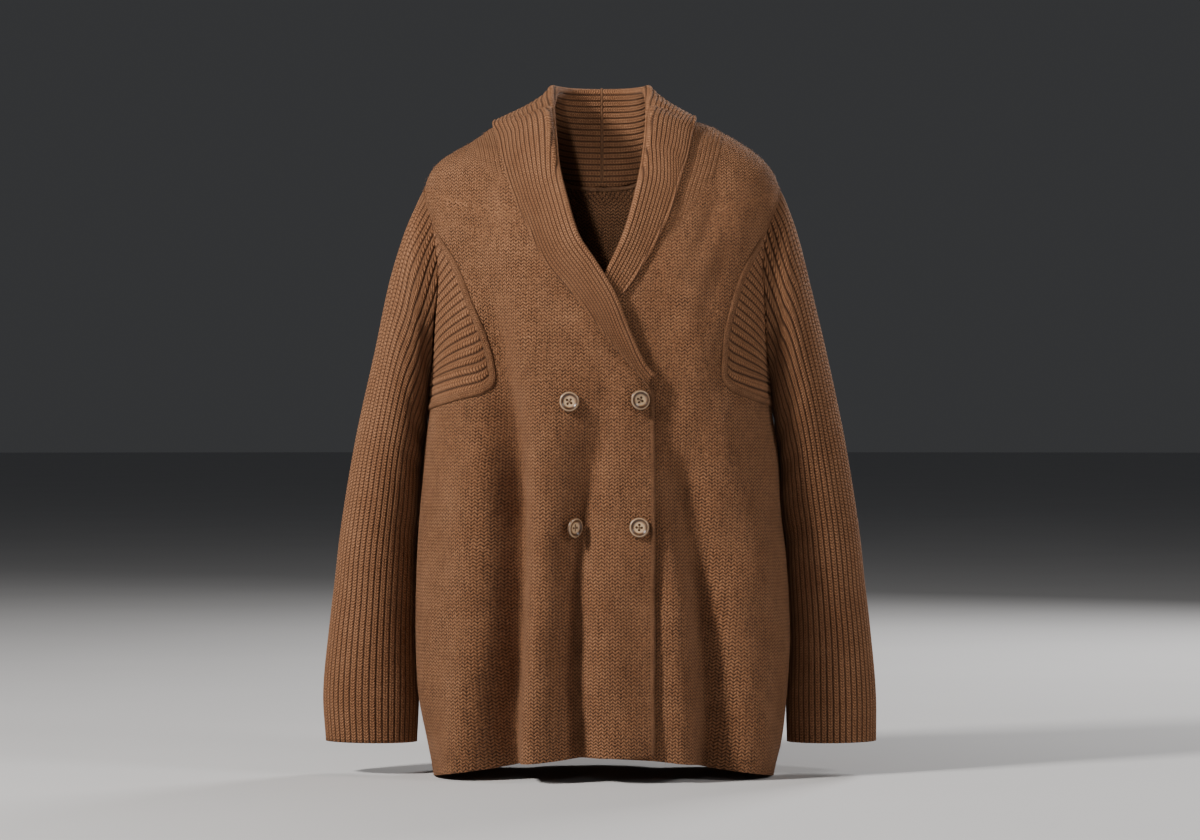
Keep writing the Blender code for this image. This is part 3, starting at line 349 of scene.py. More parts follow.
def add_panel(name, grids):
    """A jersey panel from grids of (points, knitting places), with the cloth's thickness and soft edges."""
    points, faces, places = [], [], []
    first = 0
    for grid, knitting in grids:
        rows, columns = grid.shape[:2]
        quads, corners = grid_faces(rows, columns, first)
        points.append(grid.reshape(-1, 3))
        faces.append(quads)
        places.append(knitting.reshape(-1, 2)[corners])
        first += rows * columns
    made = add_mesh(name, np.concatenate(points), np.concatenate(faces).tolist(), np.concatenate(places))
    shape = bmesh.new()
    shape.from_mesh(made.data)
    bmesh.ops.remove_doubles(shape, verts=shape.verts, dist=0.05 * MM)
    shape.to_mesh(made.data)
    shape.free()
    wall = made.modifiers.new("cloth", "SOLIDIFY")
    wall.thickness = BODY_WALL
    wall.offset = 0.0
    edge = made.modifiers.new("soft_edge", "BEVEL")
    edge.width = 0.9 * MM
    edge.segments = 2
    edge.limit_method = "ANGLE"
    edge.angle_limit = math.radians(60)
    return made


def add_node(tree, kind, inputs=None, **settings):
    """A shader node with its settings, and its inputs set or joined."""
    made = tree.nodes.new(kind)
    for key, value in settings.items():
        setattr(made, key, value)
    for key, value in (inputs or {}).items():
        if isinstance(value, bpy.types.NodeSocket):
            tree.links.new(value, made.inputs[key])
        else:
            made.inputs[key].default_value = value
    return made


def sums(tree, operation, *values):
    """The output of a Math node."""
    return add_node(tree, "ShaderNodeMath", dict(enumerate(values)), operation=operation).outputs[0]


def blend_colour(tree, share, a, b):
    """The output of a colour Mix node."""
    return add_node(tree, "ShaderNodeMix", {0: share, 6: a, 7: b}, data_type="RGBA").outputs[2]


def ranged(tree, value, low, high, at_low, at_high):
    """A value's range from low to high, spread over another range and held at its ends."""
    limits = {0: value, 1: low, 2: high, 3: at_low, 4: at_high}
    return add_node(tree, "ShaderNodeMapRange", limits).outputs[0]


def noise(tree, place, scale, detail, **more):
    """A Noise Texture over a place."""
    return add_node(tree, "ShaderNodeTexNoise", {"Vector": place, "Scale": scale, "Detail": detail, **more})


def vectors(tree, operation, a, b):
    """The output of a Vector Math node."""
    return add_node(tree, "ShaderNodeVectorMath", {0: a, 1: b}, operation=operation).outputs[0]


def new_group(name, inputs, outputs):
    """An empty shader node group with named sockets. Returns it with its input and output nodes."""
    group = bpy.data.node_groups.new(name, "ShaderNodeTree")
    for direction, sockets in (("INPUT", inputs), ("OUTPUT", outputs)):
        for label, kind in sockets:
            group.interface.new_socket(label, in_out=direction, socket_type="NodeSocket" + kind)
    return group, group.nodes.new("NodeGroupInput"), group.nodes.new("NodeGroupOutput")


def new_material(name):
    """A new material with its node tree and its shader."""
    made = bpy.data.materials.new(name)
    made.use_nodes = True
    return made, made.node_tree, made.node_tree.nodes["Principled BSDF"]


# Knit stitches: columns of small Vs, whose arms stand up and whose gaps lie deep. The Gap output marks those
# gaps for painted shade.
ARM_SLANT = 1.5           # how far an arm of the V rises, in courses for each wale
ARM_MIDDLE = 0.25         # where an arm lies on its half of the wale
ARM_FLOOR = 0.55          # height of an arm's edge, as a share of its middle's
LOOP_FLOOR = 0.1          # height between two courses
stitches, into, out_of = new_group(
    "knit_stitches", (("Place", "Vector"), ("Wale", "Float"), ("Course", "Float")),
    (("Height", "Float"), ("Gap", "Float")))
apart = add_node(stitches, "ShaderNodeSeparateXYZ", {0: into.outputs["Place"]})
wale = sums(stitches, "FRACT", sums(stitches, "DIVIDE", apart.outputs[0], into.outputs["Wale"]))
from_middle = sums(stitches, "ABSOLUTE", sums(stitches, "SUBTRACT", wale, 0.5))
course = sums(stitches, "DIVIDE", apart.outputs[1], into.outputs["Course"])
slanted = sums(stitches, "FRACT", sums(stitches, "MULTIPLY_ADD", from_middle, -ARM_SLANT, course))
off_arm = sums(stitches, "ABSOLUTE", sums(stitches, "SUBTRACT", from_middle, ARM_MIDDLE))
arm = sums(stitches, "DIVIDE", off_arm, ARM_MIDDLE)
arm_round = sums(stitches, "SUBTRACT", 1.0, sums(stitches, "POWER", arm, 2.0))
loop = sums(stitches, "ABSOLUTE", sums(stitches, "MULTIPLY_ADD", slanted, 2.0, -1.0))
loop_round = sums(stitches, "SUBTRACT", 1.0, sums(stitches, "POWER", loop, 2.0))
arm_high = sums(stitches, "MULTIPLY_ADD", arm_round, 1 - ARM_FLOOR, ARM_FLOOR)
loop_high = sums(stitches, "MULTIPLY_ADD", loop_round, 1 - LOOP_FLOOR, LOOP_FLOOR)
high = sums(stitches, "MULTIPLY", arm_high, loop_high)
stitches.links.new(high, out_of.inputs["Height"])
stitches.links.new(ranged(stitches, high, 0.18, 0.82, 1.0, 0.0), out_of.inputs["Gap"])

# Brushed nap: short wisps of raised fibre that lie in clumps, mostly down the cloth. Wander is the place
# of a stitch that the brushing has pulled a little aside.
SWIRL_REACH = (0.014, 0.014, 0.0)
STITCH_DRIFT = (0.004, 0.004, 0.0)
WISP_DRAWN = (1.0, 0.26, 1.0)
nap, into, out_of = new_group(
    "brushed_nap", (("Place", "Vector"), ("Clump", "Float")),
    (("Wisps", "Float"), ("Clumps", "Float"), ("Height", "Float"), ("Wander", "Vector")))
place = into.outputs["Place"]
swirl = vectors(nap, "SUBTRACT", noise(nap, place, 38.0, 2.0).outputs["Color"], (0.5, 0.5, 0.5))
bent = vectors(nap, "ADD", place, vectors(nap, "MULTIPLY", swirl, SWIRL_REACH))
drawn = vectors(nap, "MULTIPLY", bent, WISP_DRAWN)
wisps = noise(nap, drawn, 900.0, 4.0, Roughness=0.62).outputs["Fac"]
clumps = noise(nap, drawn, into.outputs["Clump"], 3.0, Roughness=0.6).outputs["Fac"]
nap.links.new(wisps, out_of.inputs["Wisps"])
nap.links.new(clumps, out_of.inputs["Clumps"])
nap.links.new(sums(nap, "MULTIPLY_ADD", clumps, 1.4, wisps), out_of.inputs["Height"])
wander = vectors(nap, "ADD", place, vectors(nap, "MULTIPLY", swirl, STITCH_DRIFT))
nap.links.new(wander, out_of.inputs["Wander"])

# Heather: the yarn's colour wanders a little over the cloth and from stitch to stitch
heather, into, out_of = new_group(
    "yarn_heather", (("Place", "Vector"), ("Yarn", "Color"), ("Light", "Color"), ("Dark", "Color")),
    (("Colour", "Color"),))
broad = noise(heather, into.outputs["Place"], 26.0, 3.0).outputs["Fac"]
speck = noise(heather, into.outputs["Place"], 520.0, 3.0).outputs["Fac"]
lightly = ranged(heather, broad, 0.35, 0.7, 0.0, 0.5)
toned = blend_colour(heather, lightly, into.outputs["Yarn"], into.outputs["Light"])
darkly = ranged(heather, speck, 0.38, 0.62, 0.45, 0.0)
heather.links.new(blend_colour(heather, darkly, toned, into.outputs["Dark"]), out_of.inputs["Colour"])

YARN = (0.300, 0.134, 0.062, 1.0)
YARN_LIGHT = (0.47, 0.235, 0.122, 1.0)
YARN_DARK = (0.120, 0.048, 0.021, 1.0)
# Painted shade, near black: it goes in the gaps between stitches, in the grooves of ribs and along the sides
# of strips.
PAINTED_SHADE = (0.018, 0.007, 0.004, 1.0)
SHEEN_TINT = (0.78, 0.5, 0.33, 1.0)
SHEEN_ROUGHNESS = 0.45
SPECULAR = 0.2


def knit_parts(tree, wale, course, clump, brushed, base):
    """The place, the stitches, the nap and the heathered colour of a knit, laid out on its own map."""
    place = add_node(tree, "ShaderNodeUVMap", uv_map="knitting").outputs[0]
    fuzz = add_node(tree, "ShaderNodeGroup", {"Place": place, "Clump": clump}, node_tree=nap)
    laid = {"Place": fuzz.outputs["Wander"] if brushed else place, "Wale": wale, "Course": course}
    loops = add_node(tree, "ShaderNodeGroup", laid, node_tree=stitches)
    dyed = {"Place": place, "Yarn": base, "Light": YARN_LIGHT, "Dark": YARN_DARK}
    yarn = add_node(tree, "ShaderNodeGroup", dyed, node_tree=heather)
    return place, loops, fuzz, yarn.outputs[0]


def knit_surface(tree, colour, height, fuzz, soft, raised, rough, sheen):
    """Joins a knit's colour and relief to its shader. soft and raised are a bump's depth and strength."""
    shader = tree.nodes["Principled BSDF"]
    tree.links.new(colour, shader.inputs["Base Color"])
    fluffy = add_node(tree, "ShaderNodeBump", {"Height": fuzz.outputs["Height"], "Distance": soft[0],
                                               "Strength": soft[1]})
    knitted = add_node(tree, "ShaderNodeBump", {"Height": height, "Distance": raised[0],
                                                "Strength": raised[1], "Normal": fluffy.outputs[0]})
    tree.links.new(knitted.outputs[0], shader.inputs["Normal"])
    tree.links.new(ranged(tree, fuzz.outputs["Wisps"], 0.3, 0.7, *rough), shader.inputs["Roughness"])
    shader.inputs["Sheen Weight"].default_value = sheen
    shader.inputs["Sheen Roughness"].default_value = SHEEN_ROUGHNESS
    shader.inputs["Sheen Tint"].default_value = SHEEN_TINT
    shader.inputs["Specular IOR Level"].default_value = SPECULAR


def jersey(name, wale, course, gap_shade_share, nap_share, band=0.0, base=YARN):
    """Fine brushed jersey: V stitches under a soft nap, in heathered yarn, with painted shade in the gaps
    between stitches. A band's two sides are painted shade too.
    """
    made, tree, _ = new_material(name)
    place, loops, fuzz, colour = knit_parts(tree, wale, course, 170.0, True, base)
    wispy = ranged(tree, fuzz.outputs["Wisps"], 0.5, 0.66, 0.0, nap_share)
    colour = blend_colour(tree, wispy, colour, YARN_LIGHT)
    matted = ranged(tree, fuzz.outputs["Clumps"], 0.3, 0.5, 0.3, 0.0)
    colour = blend_colour(tree, matted, colour, YARN_DARK)
    # Painted shade: the gaps between stitches are coloured near black, a little less where the nap's clumps
    # lie over them.
    brushed = ranged(tree, fuzz.outputs["Clumps"], 0.4, 0.68, gap_shade_share, 0.8 * gap_shade_share)
    colour = blend_colour(tree, sums(tree, "MULTIPLY", loops.outputs["Gap"], brushed), colour, PAINTED_SHADE)
    # Painted shade: a strip's two long sides are coloured near black, where it meets the cloth that it lies
    # on.
    if band:
        across = add_node(tree, "ShaderNodeSeparateXYZ", {0: place}).outputs[0]
        off = sums(tree, "ABSOLUTE", sums(tree, "MULTIPLY_ADD", across, 2 / band, -1.0))
        colour = blend_colour(tree, ranged(tree, off, 0.72, 0.95, 0.0, 0.85), colour, PAINTED_SHADE)
    knit_surface(tree, colour, loops.outputs["Height"], fuzz, soft=(1.1 * MM, 0.75), raised=(1.9 * MM, 1.0),
                 rough=(0.82, 0.96), sheen=0.14)
    return made


body_jersey = jersey("brushed_jersey", 5.4 * MM, 3.6 * MM, 1.0, 0.55)


def finish_piece(piece, surface, slot, *nodes):
    """Gives a piece its material and its place on the frame, and hides the nodes that it stands for."""
    piece.data.materials.clear()
    piece.data.materials.append(surface)
    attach(piece, "root")
    if nodes:
        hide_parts(*nodes)


halves = []
for side in (-1, 1):
    outer = [(side * math.pi / 2, row[0] * MM) for row in BACK_SIDE_ROWS]
    outer += [armhole(-math.radians(row[0]), side) for row in BACK_ARMHOLE_ROWS]
    outer += [(side * math.pi / 2, row[0] * MM) for row in BACK_SHOULDER_ROWS]
    inner = []
    for _, x_in, height_in in BACK_SIDE_ROWS + BACK_ARMHOLE_ROWS + BACK_SHOULDER_ROWS:
        angle = side * abs(angle_of_x(side * x_in * MM, height_in * MM, back=True))
        inner.append((angle if x_in else side * math.pi, height_in * MM))
    fine = finer(patch(outer, inner, BACK_COLUMNS), BACK_STEPS)
    at_middle = np.abs(np.abs(fine[:, -1, 0]) - math.pi) < 0.02
    fine[:, -1, 0] = np.where(at_middle, side * math.pi, fine[:, -1, 0])
    grid = pull_in(skin(fine[..., 0], fine[..., 1]), ("first_column",), SEAM)
    knitting = cloth_place(fine[..., 0], fine[..., 1])
    if side < 0:
        grid, knitting = grid[:, ::-1], knitting[:, ::-1]
    halves.append((grid, knitting))
back = add_panel("back_panel", halves)
finish_piece(back, body_jersey, "brushed_jersey", "back")

# ---------------------------------------------------------------- fronts
# Two panels of the same brushed jersey, open at the neck in a V. The left one laps over the right one and
# hangs in one deep fold beside each row of buttons. Both are cut away under the arm for the ribbed gussets.

# height, x of the neck edge, in mm
NECK_EDGE_LEFT = ((-284, 52.5), (-275, 47), (-259, 36), (-225, 14), (-187, -9), (-157, -32), (-127, -50),
                  (-95, -64), (-62, -73), (-31, -79), (-8, -77), (3, -73.5), (9.5, -70))
NECK_EDGE_RIGHT = ((-284, -50.5), (-277, -46), (-259, -37), (-225, -17), (-187, 4), (-145, 34), (-114, 46),
                   (-83, 57), (-56, 64), (-31, 71.5), (-8, 74.5), (3, 73), (9.5, 70))
GUSSET_CORNER = 4         # row of the corner in the next two tables
# x, height: from the side seam round the gusset's corner to the armhole, in mm
GUSSET_SEAM_LEFT = ((-181, -302), (-166.6, -294), (-146.7, -287.7), (-130, -282), (-121.5, -272),
                    (-122.2, -257.8), (-126, -238), (-130.5, -221), (-139.2, -194.3), (-148, -170),
                    (-160, -141), (-176, -108))
GUSSET_SEAM_RIGHT = ((178, -297), (161.7, -290), (148.6, -285.7), (135, -279.5), (127.3, -269),
                     (126.8, -254.7), (127.5, -238), (128.8, -222.6), (134, -200.6), (143, -173),
                     (155, -144), (170, -112))
FRONT_EDGE = 54.5
UNDER_EDGE = -50.5
UNDER_INSET = 6 * MM
# height at the outer seam, height at the inner edge, in mm
SIDE_ROWS = ((-687, -660), (-650, -625), (-605, -580), (-555, -532), (-505, -485), (-455, -438),
             (-405, -392), (-362, -352), (-328, -314))
GUSSET_ROW_INNER = (-284, -268, -250, -230, -210, -188, -165, -142)
ARMHOLE_ROWS = ((-99, -125), (-83, -110), (-72.5, -101), (-69, -93))
SHOULDER_ROWS = ((-50, -78), (-30, -60), (-12, -31), (-1, -8), (5, 3), (9.5, 9.5))
FRONT_COLUMNS = 40
FRONT_STEPS = 10
GIRTH = 150 * MM          # length on the body's skin of one radian, roughly


def resample(points, count, closed=False):
    """Points at even distances along a polyline."""
    points = np.asarray(points, float)
    if closed:
        points = np.vstack((points, points[:1]))
    steps = np.linalg.norm(np.diff(points, axis=0), axis=1)
    reached = np.concatenate(((0.0,), np.cumsum(steps)))
    wanted = np.linspace(0, reached[-1], count + 1)
    if closed:
        wanted = wanted[:-1]
    return np.stack([np.interp(wanted, reached, points[:, k]) for k in range(points.shape[1])], axis=1)


def gusset_seam(side, table):
    """The seam round a gusset as (angle, height): from the side seam round its corner to the armhole."""
    points = [(angle_of_x(x * MM, height * MM), height * MM) for x, height in table]
    points[0] = (side * math.pi / 2, points[0][1])
    points[-1] = (armhole_at(points[-1][1], side), points[-1][1])
    return np.array(points)


def spaced(points, count):
    """Points at even distances along a line on the skin, given and returned as (angle, height)."""
    points = np.asarray(points, float)
    return resample(points * (GIRTH, 1.0), count) / (GIRTH, 1.0)


def neck_edge(table, height):
    """The x of a front's neck edge at a height."""
    rows = np.array(table) * MM
    return float(smooth(rows[:, 0], rows[:, 1], height))


def front_grids(side, neck_table, gusset_table, edge_x, under):
    """A front's cloth below and above the gusset's corner, in rows from the outer seam to the inner edge."""
    seam = gusset_seam(side, gusset_table)
    outer = [(side * math.pi / 2, row[0] * MM) for row in SIDE_ROWS]
    inner = [(angle_of_x(edge_x * MM, row[1] * MM), row[1] * MM) for row in SIDE_ROWS]
    lower = patch(outer, inner, 2 * FRONT_COLUMNS)
    outer = list(seam[GUSSET_CORNER:])
    outer += [(armhole_at(row[0] * MM, side), row[0] * MM) for row in ARMHOLE_ROWS]
    outer += [(side * math.pi / 2, row[0] * MM) for row in SHOULDER_ROWS]
    heights = [h * MM for h in GUSSET_ROW_INNER + tuple(row[1] for row in ARMHOLE_ROWS + SHOULDER_ROWS)]
    inner = [(angle_of_x(neck_edge(neck_table, h), h), h) for h in heights]
    upper = patch(outer, inner, FRONT_COLUMNS)
    bottom = spaced(finer(seam[:GUSSET_CORNER + 1], 6), FRONT_COLUMNS)
    lower = np.concatenate((lower, [np.concatenate((bottom[:-1], upper[0]))]))
    found = []
    for fine in (finer(lower, FRONT_STEPS), finer(upper, FRONT_STEPS)):
        grid = pull_in(skin(fine[..., 0], fine[..., 1], under), ("first_column",), SEAM)
        found.append((grid, cloth_place(fine[..., 0], fine[..., 1])))
    found[0][0][-1, FRONT_COLUMNS:] = found[1][0][0]
    return found


left_grids = front_grids(-1, NECK_EDGE_LEFT, GUSSET_SEAM_LEFT, FRONT_EDGE, 0.0)
front_left = add_panel("front_left_panel", left_grids)
finish_piece(front_left, body_jersey, "brushed_jersey", "front_left")
right_grids = front_grids(1, NECK_EDGE_RIGHT, GUSSET_SEAM_RIGHT, UNDER_EDGE, UNDER_INSET)
right_grids = [(grid[:, ::-1], knitting[:, ::-1]) for grid, knitting in right_grids]
front_right = add_panel("front_right_panel", right_grids)
finish_piece(front_right, body_jersey, "brushed_jersey", "front_right")

# ---------------------------------------------------------------- front edge
# The left front's free edge rolls outwards in a narrow plain strip, from the collar's point down to the
# hem. It is knitted with the panel and pressed.

STRIP_GIRTH = 10 * MM       # the width that a strip's knitting is mapped to


def add_strip(name, path, normals, half_width, height, steps=10, squareness=1.0, taper=0):
    """A raised rounded strip along a path, whose flat side faces what it lies on."""
    path = np.asarray(path, float)
    normals = np.asarray(normals, float)
    along = np.gradient(path, axis=0)
    along /= np.linalg.norm(along, axis=1, keepdims=True)
    sideways = np.cross(normals, along)
    sideways /= np.linalg.norm(sideways, axis=1, keepdims=True)
    turns = np.linspace(0, math.pi, steps + 1)
    wide = np.sign(np.cos(turns)) * np.abs(np.cos(turns)) ** squareness
    tall = np.sin(turns) ** squareness
    grow = np.ones(len(path))
    if taper:
        count = np.arange(len(path))
        grow = np.sqrt(np.clip(np.minimum(count, count[::-1]) / taper, 0.02, 1.0))
    size = grow[:, None, None]
    rows = (path[:, None] + sideways[:, None] * (wide * half_width)[None, :, None] * np.sqrt(size)
            + normals[:, None] * (tall * height)[None, :, None] * size)
    faces, corners = grid_faces(len(path), steps + 1)
    run = np.concatenate(((0.0,), np.cumsum(np.linalg.norm(np.diff(path, axis=0), axis=1))))
    over = turns / math.pi * STRIP_GIRTH
    places = np.stack(np.broadcast_arrays(over[None, :], run[:, None]), -1).reshape(-1, 2)
    flip = np.dot(np.cross(rows[0, steps // 2 + 1] - rows[0, steps // 2], along[0]), normals[0]) < 0
    faces = faces[:, ::-1] if flip else faces
    corners = corners[:, ::-1] if flip else corners
    return add_mesh(name, rows.reshape(-1, 3), faces.tolist(), places[corners.ravel()])


EDGE_HALF_WIDTH = 2.4 * MM
EDGE_HEIGHT = 1.7 * MM
edge_heights = np.linspace(-277, -659.5, 150) * MM
edge_top = ease(-290 * MM, -277 * MM, edge_heights)      # it starts on the end of the collar
edge_across = FRONT_EDGE * MM - EDGE_HALF_WIDTH - 3 * MM * edge_top
edge_angles = np.array([angle_of_x(x, h) for x, h in zip(edge_across, edge_heights)])
edge_normals = skin_normal(edge_angles, edge_heights)
edge_lift = 0.5 * BODY_WALL - 0.3 * MM + 3.6 * MM * edge_top
edge_path = skin(edge_angles, edge_heights) + edge_normals * edge_lift[:, None]
# The edge strip's two sides are painted shade, where it meets the panel.
edge_jersey = jersey("edge_jersey", 2.5 * MM, 2.6 * MM, 0.5, 0.4, STRIP_GIRTH)
front_edge = add_strip("front_edge_roll", edge_path, edge_normals, EDGE_HALF_WIDTH, EDGE_HEIGHT, taper=3)
finish_piece(front_edge, edge_jersey, "brushed_jersey", "front_edge")

# ---------------------------------------------------------------- side gussets
# A three-sided panel under each arm, knitted in plain ribs that run aslant and rise towards the front. It
# is sewn in between the side seam, the armhole and the front.

RIB_WALL = 2.2 * MM
GUSSET_RIBS = 20
GUSSET_COLUMNS = 8        # for each rib
GUSSET_ROWS = 44
GUSSET_BEND = 0.4         # share of the ribs that follow the lower seam's curve
GUSSET_SINK = 0.4 * MM
GUSSET_RIB_HEIGHT = 1.7 * MM
GUSSET_TOP = 0.85         # where the topmost rib ends, on the seam's last stretch
GUSSET_TOP_TURN = 0.06    # how far it starts from there round the armhole
RIB_RATIO = 4             # fine columns outside for each plain one inside


def rib_profile(phase, squareness=2.4):
    """Height of a knitted rib across its width: a full round with narrow grooves."""
    across = np.abs(2 * (phase % 1.0) - 1)
    return np.clip(1 - across ** squareness, 0, 1) ** 0.6


def add_rib_wall(name, fine, plain, places, closed=False):
    """A ribbed wall between a fine outer grid and a plain inner one, whose rows match.

    Rows run along the ribs. The fine grid has RIB_RATIO columns for each plain one.
    """
    rows, columns = fine.shape[:2]
    plain_columns = plain.shape[1]
    faces, corners = grid_faces(rows, columns, 0, closed)
    corner_places = places.reshape(-1, 2)[corners.ravel()]
    first = rows * columns
    inner, inner_corners = grid_faces(rows, plain_columns, first, closed)
    thin = places[:, ::RIB_RATIO]
    inner_places = thin.reshape(-1, 2)[inner_corners[:, ::-1].ravel()]
    all_faces = faces.tolist() + inner[:, ::-1].tolist()
    all_places = [corner_places, inner_places]
    wide = plain_columns if closed else plain_columns - 1
    for row, first_row in ((0, True), (rows - 1, False)):
        for k in range(wide):
            ring = [row * columns + (k * RIB_RATIO + j) % columns for j in range(RIB_RATIO + 1)]
            last = places.shape[1] - 1
            around = [places[row, min(k * RIB_RATIO + j, last)] for j in range(RIB_RATIO + 1)]
            start = first + row * plain_columns
            ring += [start + (k + 1) % plain_columns, start + k]
            around += [around[-1], around[0]]
            all_faces.append(ring[::-1] if first_row else ring)
            all_places.append(np.array(around[::-1] if first_row else around))
    if not closed:
        for k in range(rows - 1):
            a, b = k * columns, (k + 1) * columns
            c, d = first + k * plain_columns, first + (k + 1) * plain_columns
            all_faces.append([a, b, d, c])
            all_places.append(places[[k, k + 1, k + 1, k], 0])
            far, plain_far = columns - 1, plain_columns - 1
            all_faces.append([b + far, a + far, c + plain_far, d + plain_far])
            all_places.append(places[[k + 1, k, k, k + 1], -1])
    points = np.concatenate((fine.reshape(-1, 3), plain.reshape(-1, 3)))
    return add_mesh(name, points, all_faces, np.concatenate(all_places))


def rib_knit(name, pitch, stitch, groove_share, groove_shade_share):
    """Rib knit: rounded ribs of V stitches in the yarn's colour, and grooves coloured with painted shade,
    crossed by the yarn like a ladder.
    """
    made, tree, _ = new_material(name)
    place, loops, fuzz, colour = knit_parts(tree, pitch, stitch, 260.0, False, YARN)
    apart = add_node(tree, "ShaderNodeSeparateXYZ", {0: place})
    phase = sums(tree, "FRACT", sums(tree, "DIVIDE", apart.outputs[0], pitch))
    away = sums(tree, "ABSOLUTE", sums(tree, "SUBTRACT", phase, 0.5))
    groove = ranged(tree, away, 0.5 - groove_share, 0.5, 0.0, 1.0)
    rung = sums(tree, "FRACT", sums(tree, "DIVIDE", apart.outputs[1], stitch))
    from_rung = sums(tree, "ABSOLUTE", sums(tree, "MULTIPLY_ADD", rung, 2.0, -1.0))
    rung_high = sums(tree, "SUBTRACT", 1.0, from_rung)
    dotted = sums(tree, "MULTIPLY_ADD", rung_high, -0.4, 1.0)
    wispy = ranged(tree, fuzz.outputs["Wisps"], 0.5, 0.7, 0.0, 0.4)
    colour = blend_colour(tree, wispy, colour, YARN_LIGHT)
    # Painted shade in the gaps between stitches, and in the grooves between ribs, lighter where the yarn
    # crosses a groove.
    colour = blend_colour(tree, sums(tree, "MULTIPLY", loops.outputs["Gap"], 0.7), colour, PAINTED_SHADE)
    sunk = sums(tree, "MULTIPLY", groove, sums(tree, "MULTIPLY", dotted, groove_shade_share))
    colour = blend_colour(tree, sunk, colour, PAINTED_SHADE)
    rungs = sums(tree, "MULTIPLY", groove, rung_high)
    shaped = sums(tree, "MULTIPLY_ADD", rungs, 0.9, loops.outputs["Height"])
    knit_surface(tree, colour, shaped, fuzz, soft=(0.8 * MM, 0.6), raised=(1.4 * MM, 0.9),
                 rough=(0.8, 0.95), sheen=0.12)
    return made


GUSSET_PITCH = 8 * MM
gusset_rib = rib_knit("gusset_rib", GUSSET_PITCH, 3.2 * MM, 0.24, 1.0)


def add_gusset(name, side, table):
    """Ribs rise aslant from the side seam and the armhole to the front seam."""
    steps = GUSSET_RIBS * GUSSET_COLUMNS
    seam = gusset_seam(side, table)
    before, last = seam[-2:]
    top = before + (last - before) * GUSSET_TOP
    ends = spaced(finer(np.vstack((seam[GUSSET_CORNER:-1], top)), 6), steps)
    middle = 0.5 * (ARMHOLE_TOP + ARMHOLE_BOTTOM)
    share = (seam[-1][1] / MM - middle) / (0.5 * (ARMHOLE_TOP - ARMHOLE_BOTTOM))
    hole = [armhole(turn, side) for turn in np.linspace(math.pi, math.acos(share) + GUSSET_TOP_TURN, 40)]
    starts = spaced([seam[0]] + hole, steps)
    t = np.linspace(0, 1, GUSSET_ROWS + 1)[:, None]
    at = np.arange(steps + 1) / steps
    straight = starts[None] + (ends - starts)[None] * t[..., None]
    lower = spaced(finer(seam[:GUSSET_CORNER + 1], 6), GUSSET_ROWS)
    bent = (lower - seam[0] - (seam[GUSSET_CORNER] - seam[0]) * t)[:, None]
    place = straight + bent * (1 - ease(0.0, GUSSET_BEND, at))[None, :, None]
    angle, level = place[..., 0], place[..., 1]
    normals = skin_normal(angle, level)
    grid = skin(angle, level) - normals * GUSSET_SINK
    grid = pull_in(grid, ("first_row", "last_row", "first_column", "last_column"), SEAM)
    along = np.cumsum(np.linalg.norm(np.gradient(grid, axis=0), axis=2), axis=0)
    phase = np.broadcast_to(np.arange(steps + 1) / GUSSET_COLUMNS, along.shape)
    raised = rib_profile(phase) * GUSSET_RIB_HEIGHT * ease(0.0, 0.09, t) * ease(1.0, 0.95, t)
    outside = grid + normals * (0.5 * RIB_WALL + raised[..., None])
    inside = (grid - normals * 0.5 * RIB_WALL)[:, ::RIB_RATIO]
    places = np.stack((phase * GUSSET_PITCH, along), -1)
    if np.dot(grid_normals(grid)[20, steps // 2], normals[20, steps // 2]) < 0:
        outside, inside, places = outside[::-1], inside[::-1], places[::-1]
    return add_rib_wall(name, outside, inside, places)


for name, side, table in (("left", -1, GUSSET_SEAM_LEFT), ("right", 1, GUSSET_SEAM_RIGHT)):
    gusset = add_gusset(f"gusset_{name}_knit", side, table)
    finish_piece(gusset, gusset_rib, "rib_knit", f"gusset_{name}")

# ---------------------------------------------------------------- welts
# A smooth rolled band of plain jersey covers the seam from each gusset's corner to the front. It is sewn
# down along both sides, and a fine line of painted shade runs along each side.

WELT_HALF_WIDTH = 4 * MM
WELT_HEIGHT = 2.6 * MM
WELT_LIFT = 0.9 * MM
for name, side, table in (("left", -1, GUSSET_SEAM_LEFT), ("right", 1, GUSSET_SEAM_RIGHT)):
    path = spaced(finer(gusset_seam(side, table), 8), 170)[6:-8]
    normals = skin_normal(path[:, 0], path[:, 1])
    places = skin(path[:, 0], path[:, 1]) + normals * WELT_LIFT
    welt = add_strip(f"welt_{name}_roll", places, normals, WELT_HALF_WIDTH, WELT_HEIGHT, steps=14,
                     squareness=0.75, taper=5)
    finish_piece(welt, edge_jersey, "rib_knit", f"welt_{name}")

# ---------------------------------------------------------------- sleeves
# Each sleeve is a tube of plain ribs that run its whole length, set in at the armhole. It has no cuff of
# its own: the ribs end in a thin cast-off edge.

# height outside, height inside, middle's y, half depth to the front, half depth to the back, in mm
SLEEVE_RINGS = (
    (-84, -284, 2, 50, 54),
    (-118, -298, 7, 57, 62),
    (-170, -322, 13, 62, 68),
    (-240, -356, 19, 64, 68),
    (-330, -405, 23, 60, 63),
    (-430, -468, 24, 54, 56),
    (-530, -545, 21, 45, 47),
    (-600, -604, 16, 38, 39),
    (-653, -654, 12, 32, 33),
)
